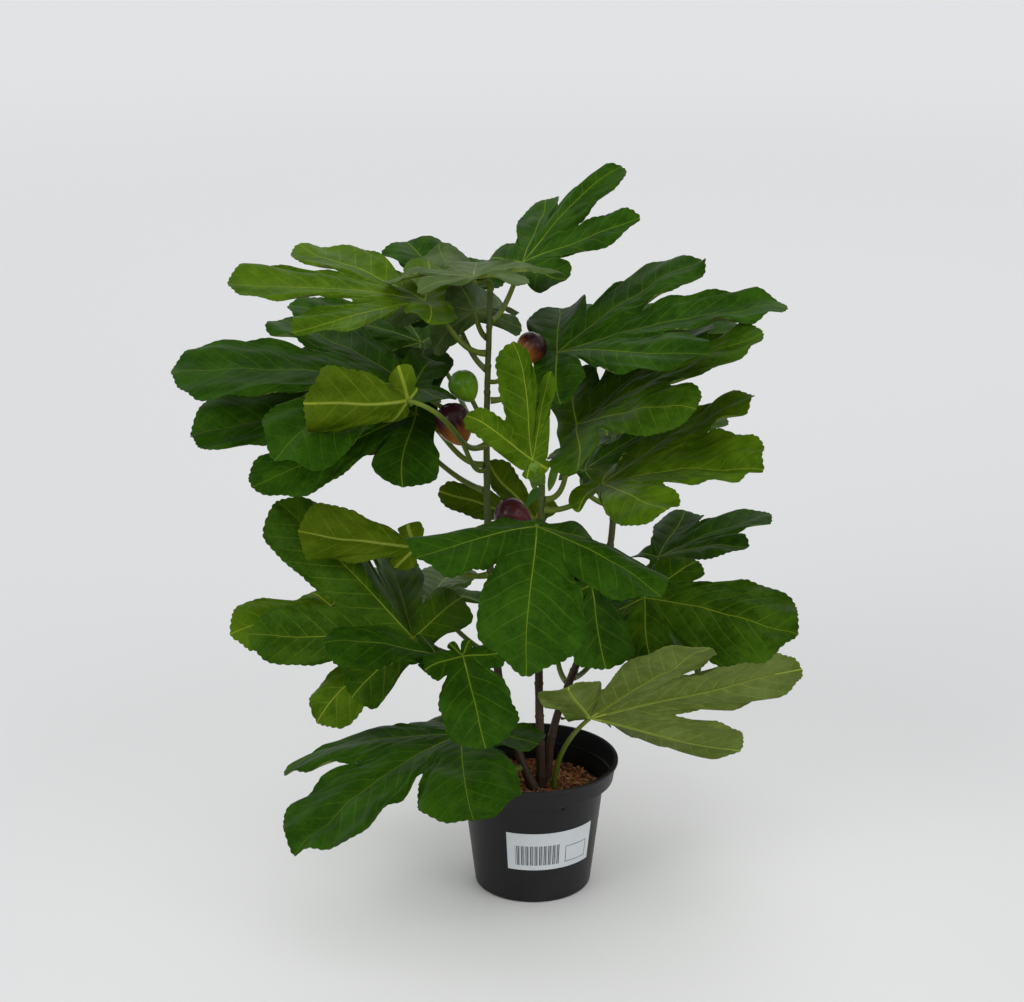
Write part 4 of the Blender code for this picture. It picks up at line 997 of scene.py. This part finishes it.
def veinLines(s, u, v, broad):
    # the midrib as a line that narrows outwards, and how far a point is from the nearest side vein
    side = s.math("ABSOLUTE", v)
    width = s.math("MAXIMUM", s.scaled(u, -0.0040 * broad, 0.0085 * broad), 0.0028 * broad)
    midrib = s.band(s.math("DIVIDE", side, width), 0.55, 1.25, 1.0, 0.0)
    lean = s.plus(s.times(side, veinSet["lean"]), s.times(s.times(side, side), veinSet["bend"] / 10))
    turn = s.math("DIVIDE", s.less(u, lean), veinSet["pitch"] * 10)
    turn = s.scaled(s.math("GREATER_THAN", v, 0.0), 0.5, turn)
    return side, midrib, s.math("ABSOLUTE", s.less(s.math("FRACT", turn), 0.5))


def leafFace(name, look, raisedVeins):
    dark, light, vein, rough, show = looks[look]
    s = Shader(name)
    u, v = s.uv("veins")
    share, tone = s.uv("spot")
    place = s.place()
    side, midrib, line = veinLines(s, u, v, 2.2 if raisedVeins else 0.95)
    branch = s.times(s.band(line, 0.015, 0.055, 1.0, 0.0), s.band(share, 0.70, 1.0, 1.0, 0.35))
    flatSpot = s.joined(u, v, tone)
    net = s.node("ShaderNodeTexVoronoi", {"Vector": flatSpot, "Scale": 17.0}, feature="DISTANCE_TO_EDGE")
    mesh = s.band(net.outputs[0], 0.0, 0.10, 1.0, 0.0)
    veins = s.math("MAXIMUM", midrib, s.math("MAXIMUM", s.times(branch, 0.27), s.times(mesh, 0.07)))
    mottle = s.noise(flatSpot, 9.0, 5.0, 0.65)
    clouds = s.scaled(s.noise(place, 26.0, 4.0, 0.6), 0.6, s.times(mottle, 0.4))
    flesh = s.mix(s.band(clouds, 0.38, 0.62), dark, light)
    flesh = s.mix(s.times(s.band(side, 0.0, 0.06, 1.0, 0.0), 0.05), flesh, vein)
    flesh = s.mix(s.times(tone, 0.30), flesh, light)
    color = s.mix(s.times(veins, show), flesh, vein)
    height = s.scaled(s.band(line, 0.0, 0.5), 0.55, s.times(midrib, 0.22 if raisedVeins else -0.5))
    height = s.plus(height, s.times(mesh, 0.20 if raisedVeins else -0.14))
    height = s.plus(height, s.times(s.noise(place, 380.0, 3.0), 0.16))
    shine = s.scaled(mottle, 0.16, rough - 0.08)
    return s.finish(color, shine, height, 0.0005, 0.6, Specular_IOR_Level=0.022)


def stalkFace(name, low, high):
    s = Shader(name)
    color = s.mix(s.noise(s.place(), 90.0, 3.0), low, high)
    fuzz = s.noise(s.place(), 700.0, 2.0)
    return s.finish(color, 0.48, fuzz, 0.0002, 0.4, Specular_IOR_Level=0.15)


topFaces = {k: leafFace("leafTop_" + k, k, False) for k in looks}
underFace, oliveUnder = leafFace("leafUnder", "under", True), leafFace("leafUnderOlive", "olive", True)
stalkGreen = stalkFace("petioleGreen", rgb(0.055, 0.090, 0.008), rgb(0.140, 0.185, 0.022))
ribGreen = stalkFace("ribGreen", rgb(0.130, 0.185, 0.018), rgb(0.225, 0.290, 0.036))
for seed, (leafName, leafData) in enumerate(leaves.items()):
    rng = np.random.default_rng(seed + leafSet["swaySeed"])
    leafData["sway"] = rng.uniform(-1, 1, len(lobesOf(moulds[leafData["mould"]]))) * leafSet["sway"]
    lower = oliveUnder if leafData["look"] == "olive" else underFace
    buildLeaf(leafName, leafData, seed, [topFaces[leafData["look"]], lower, stalkGreen, ribGreen])
print("leaves done")

# growing tip: the rolled sheath under the young leaf, two spear-like stipules and a tiny leaf
sheath = {"stem": "front_stem", "top": -0.0025, "wide": 0.0072, "deep": 0.0046, "footShare": 0.34,
          "full": 0.75, "waist": 0.75, "end": 1.03, "wideEnd": 0.06, "deepEnd": 0.10, "ring": 0.66,
          "ringSwell": 0.0009, "ringWidth": 0.016, "out": (0.0, -0.030, 0.004), "arrive": 0.020}
spears = {"stipuleRight": {"foot": (0.0130, -0.036, 0.3985), "tip": (0.0205, -0.050, 0.4400), "wide": 0.0038},
          "stipuleLeft": {"foot": (0.0010, -0.040, 0.3990), "tip": (-0.0060, -0.060, 0.4300), "wide": 0.0030},
          "tinyLeaf": {"foot": (0.0030, -0.041, 0.4040), "tip": (-0.0083, -0.055, 0.3890), "wide": 0.0040}}
spearSet = {"bow": (0.001, 0.002, 0), "lowPull": 0.35, "highPull": 0.3, "fullest": 0.7, "least": 0.06,
            "flat": 0.16, "thick": 0.0002, "front": (0.0, -1.0, 0.3)}
tipSet = {"steps": 40, "sides": 24, "sharp": 70}


def flatTube(path, halfWide, halfDeep, front):
    # closed tube: path + halfWide cos u side + halfDeep sin u face, side square to the path and to the front
    ahead = unitRows(np.gradient(path, axis=0))
    side = unitRows(np.cross(ahead, front))
    face = np.cross(side, ahead)
    u = turns(tipSet["sides"])
    wide = halfWide[:, None, None] * np.cos(u)[None, :, None] * side[:, None]
    deep = halfDeep[:, None, None] * np.sin(u)[None, :, None] * face[:, None]
    return capped((path[:, None] + (wide + deep)).reshape(-1, 3), len(path), len(u), path[0], path[-1])


def buildSheath(material):
    # flat tube from the stem's tip to the young leaf's joint: half width wide times an eased growth from
    # footShare to 1, half depth deep times waist to 1 by sin(pi t), plus a bell-shaped ring and a round end
    young = leaves["leaf_young"]
    ahead, _, up = leafFrame(young)[1]
    foot, joint = leaveStem(sheath["stem"], None, None)[0], np.array(young["joint"])
    path = bezierCurve(foot, foot + np.array(sheath["out"]), joint - ahead * sheath["arrive"],
                       joint + ahead * sheath["top"], tipSet["steps"])
    t = np.linspace(0, 1, len(path))
    wide = sheath["wide"] * (sheath["footShare"] + (1 - sheath["footShare"]) * ease(t / sheath["full"]))
    deep = sheath["deep"] * (sheath["waist"] + (1 - sheath["waist"]) * np.sin(math.pi * t))
    wide = wide * np.sqrt(np.clip((sheath["end"] - t) / sheath["wideEnd"], 0, 1))
    deep = deep * np.sqrt(np.clip((sheath["end"] - t) / sheath["deepEnd"], 0, 1))
    ring = sheath["ringSwell"] * np.exp(-((t - sheath["ring"]) / sheath["ringWidth"]) ** 2)
    points, faces = flatTube(path, wide + ring, deep + ring, up)
    piece = addPiece("youngSheath", points, faces, [material], sharp=tipSet["sharp"])


def buildSpear(name, spear, material):
    # lance: half width w sin(pi t^fullest), bowed a little outwards
    foot, tip = np.array(spear["foot"]), np.array(spear["tip"])
    low = foot + (tip - foot) * spearSet["lowPull"] + spearSet["bow"]
    high = tip - (tip - foot) * spearSet["highPull"] + spearSet["bow"]
    path = bezierCurve(foot, low, high, tip, tipSet["steps"])
    t = np.linspace(0, 1, len(path))
    wide = spear["wide"] * np.maximum(np.sin(math.pi * t ** spearSet["fullest"]), spearSet["least"])
    deep = spearSet["flat"] * wide + spearSet["thick"]
    points, faces = flatTube(path, wide, deep, np.array(spearSet["front"]))
    piece = addPiece(name, points, faces, [material], sharp=tipSet["sharp"])


sheathGreen = stalkFace("sheathGreen", rgb(0.075, 0.150, 0.014), rgb(0.140, 0.240, 0.030))
tinyGreen = stalkFace("tinyLeafGreen", rgb(0.012, 0.05, 0.002), rgb(0.03, 0.09, 0.006))
buildSheath(sheathGreen)
for spearName, spear in spears.items():
    buildSpear(spearName, spear, tinyGreen if spearName == "tinyLeaf" else sheathGreen)
print("growing tip done")

# figs: stalk and pear-shaped fruit along a bent line, in four skins
figs = {
    "fig_purple_left": {"stem": "tall_stem", "height": 0.402, "radius": 0.0165, "skin": "purple",
        "neck": (-0.063, -0.014, 0.435), "eye": (-0.078, -0.019, 0.473)},
    "fig_green": {"stem": "tall_stem", "height": 0.455, "radius": 0.0135, "skin": "green",
        "neck": (-0.055, 0.015, 0.467), "eye": (-0.070, 0.017, 0.494)},
    "fig_behind_young": {"stem": "tall_stem", "height": 0.485, "radius": 0.0140, "skin": "purple",
        "neck": (-0.015, 0.004, 0.507), "eye": (0.007, 0.008, 0.529)},
    "fig_dark_front": {"stem": "front_stem", "height": 0.345, "radius": 0.0160, "skin": "dark",
        "neck": (-0.002, -0.018, 0.364), "eye": (-0.035, -0.018, 0.375)},
    "fig_red": {"stem": "front_stem", "height": 0.285, "radius": 0.0130, "skin": "red",
        "neck": (0.024, -0.011, 0.293), "eye": (0.038, -0.012, 0.320)},
}
figSet = {"stalk": 0.0022, "belly": 1.35, "sides": 56, "stalkSteps": 14, "bodySteps": 54, "crowd": 0.9,
          "ribs": 11, "ribDepth": 0.012, "oval": 0.010, "eyeRadii": (0.36, 0.30, 0.22, 0.08),
          "eyePlaces": (0.035, 0.006, 0.0, 0.045), "sharp": 70}
skins = {"purple": (rgb(0.300, 0.110, 0.020), rgb(0.020, 0.004, 0.006)),
         "dark": (rgb(0.080, 0.016, 0.014), rgb(0.030, 0.007, 0.009)),
         "green": (rgb(0.150, 0.300, 0.014), rgb(0.060, 0.150, 0.006)),
         "red": (rgb(0.200, 0.045, 0.022), rgb(0.090, 0.012, 0.012))}


def figSkin(name, neckColor, eyeColor):
    # neck's tone to eye's tone along the fruit with lengthwise streaks, small pale spots and a green stalk
    s = Shader(name)
    along, around = s.uv("skin")
    place = s.place()
    streak = s.noise(s.joined(s.times(around, 26.0), s.times(along, 2.0), 0.0), 1.0, 4.0)
    spots = s.band(s.noise(place, 640.0, 2.0), 0.66, 0.74)
    blend = s.plus(along, s.times(s.less(streak, 0.5), 0.55))
    color = s.mix(s.band(blend, 0.18, 0.78), neckColor, eyeColor)
    color = s.mix(s.times(spots, 0.12), color, rgb(0.30, 0.20, 0.10))
    color = s.mix(s.band(along, 0.0, 0.05), rgb(0.085, 0.125, 0.016), color)
    shine = s.scaled(s.noise(place, 120.0, 3.0), 0.14, 0.22)
    height = s.plus(streak, s.times(spots, -0.3))
    return s.finish(color, shine, height, 0.0003, 0.3, Specular_IOR_Level=0.10, Coat_Weight=0.10,
                    Coat_Roughness=0.06)


def buildFig(name, fig, material, seed):
    # radius along the fruit: R sqrt(1 - (2 t^belly - 1)^2), with shallow ribs cos(ribs u), an oval sin(2u)
    # and a sunken eye
    neck, eye = np.array(fig["neck"]), np.array(fig["eye"])
    start, outward = leaveStem(fig["stem"], fig["height"], neck)
    axis, length = unitRows(eye - neck), np.linalg.norm(eye - neck)
    reach = np.linalg.norm(neck - start) * petioleSet["pull"]
    stalk = bezierCurve(start, start + outward * reach, neck - axis * reach, neck, figSet["stalkSteps"])
    t = np.linspace(0, 1, figSet["bodySteps"] + 1)[1:] ** figSet["crowd"]
    width = fig["radius"] * np.sqrt(np.maximum(1 - (2 * t ** figSet["belly"] - 1) ** 2, 0))
    width = np.maximum(width, figSet["stalk"] * (1 - t))
    width[-4:] = fig["radius"] * np.array(figSet["eyeRadii"])
    path = np.vstack([stalk, neck + t[:, None] * (eye - neck)])
    path[-4:] = eye - axis * length * np.array(figSet["eyePlaces"])[:, None]
    u = turns(figSet["sides"])
    wobble = np.random.default_rng(seed).uniform(0, 6)
    rib = figSet["ribDepth"] * np.cos(figSet["ribs"] * u + wobble) + figSet["oval"] * np.sin(2 * u + wobble)
    fade = np.concatenate([np.zeros(len(stalk)), np.sin(math.pi * t) ** 0.5])[:, None]
    radius = np.concatenate([np.full(len(stalk), figSet["stalk"]), width])[:, None] * (1 + rib[None] * fade)
    points, faces, spot = sweep(path, radius, figSet["sides"])
    spot[:-2, 0] = np.repeat(np.concatenate([np.zeros(len(stalk)), t]), figSet["sides"])
    layers = {"skin": spot[faces[faces >= 0]]}
    piece = addPiece(name + "_fruit", points, faces, [material], layers=layers, sharp=figSet["sharp"])
    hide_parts(name)


skinFaces = {k: figSkin("figSkin_" + k, *v) for k, v in skins.items()}
for seed, (figName, figData) in enumerate(figs.items()):
    buildFig(figName, figData, skinFaces[figData["skin"]], seed)
print("figs done")

# floor, lights and surroundings of the photo: a pale sweep in soft light, with painted light in the floor's
# colour, lighter at the pot and far away
# the floor tones at the pot and far away are painted light: lighter than the ring between, to cancel the
# plant's shadow and the lamps' falloff
stageSet = {"half": 40.0, "paintedLightClose": (0.800, 0.802, 0.802), "near": (0.640, 0.643, 0.645),
            "far": (0.800, 0.802, 0.806), "closeReach": 0.02, "nearReach": 0.62, "farReach": 6.5,
            "world": (0.985, 0.99, 1.0), "worldStrength": 0.94}
lights = {"keyLight": {"place": (-1.9, -1.9, 1.9), "aim": (0, 0, 0.33), "size": 1.6, "power": 27.0},
          "fillLight": {"place": (2.2, -1.7, 1.4), "aim": (0, 0, 0.3), "size": 1.8, "power": 16.0},
          "backLight": {"place": (0.4, 2.4, 2.4), "aim": (0, 0, 0.4), "size": 2.2, "power": 8.0}}


def buildFloor():
    s = Shader("floorPaintedLight")
    away = s.node("ShaderNodeVectorMath", {0: s.place()}, operation="LENGTH").outputs["Value"]
    # painted light: the floor colour is lighter close to the pot, where the plant's shadow falls, and lighter
    # again far out, where the lamps' light falls off
    paintedLightClose, near, far = (rgb(*stageSet[k]) for k in ("paintedLightClose", "near", "far"))
    tone = s.mix(s.band(away, stageSet["closeReach"], stageSet["nearReach"]), paintedLightClose, near)
    color = s.mix(s.band(away, stageSet["nearReach"], stageSet["farReach"]), tone, far)
    material = s.finish(color, 0.62, s.noise(s.place(), 300.0, 2.0), 0.0001, 0.1)
    h = stageSet["half"]
    points = np.array([(-h, -h, 0), (h, -h, 0), (h, h, 0), (-h, h, 0)])
    mesh = bpy.data.meshes.new("floor")
    mesh.from_pydata(points.tolist(), [], [(0, 1, 2, 3)])
    mesh.materials.append(material)
    floor = bpy.data.objects.new("floor", mesh)
    bpy.context.scene.collection.objects.link(floor)


def addLight(name, light):
    data = bpy.data.lights.new(name, "AREA")
    data.shape, data.size, data.energy = "DISK", light["size"], light["power"]
    lamp = bpy.data.objects.new(name, data)
    lamp.location = light["place"]
    back = unitRows(np.array(light["place"]) - np.array(light["aim"]))
    lamp.rotation_euler = (math.acos(back[2]), 0.0, math.atan2(back[1], back[0]) + math.pi / 2)
    bpy.context.scene.collection.objects.link(lamp)


buildFloor()
world = bpy.data.worlds.new("surroundings")
world.use_nodes = True
world.node_tree.nodes["Background"].inputs[0].default_value = (*stageSet["world"], 1.0)
world.node_tree.nodes["Background"].inputs[1].default_value = stageSet["worldStrength"]
bpy.context.scene.world = world
for lightName, lightData in lights.items():
    addLight(lightName, lightData)
bpy.context.scene.view_settings.view_transform = "Standard"
print("stage done")
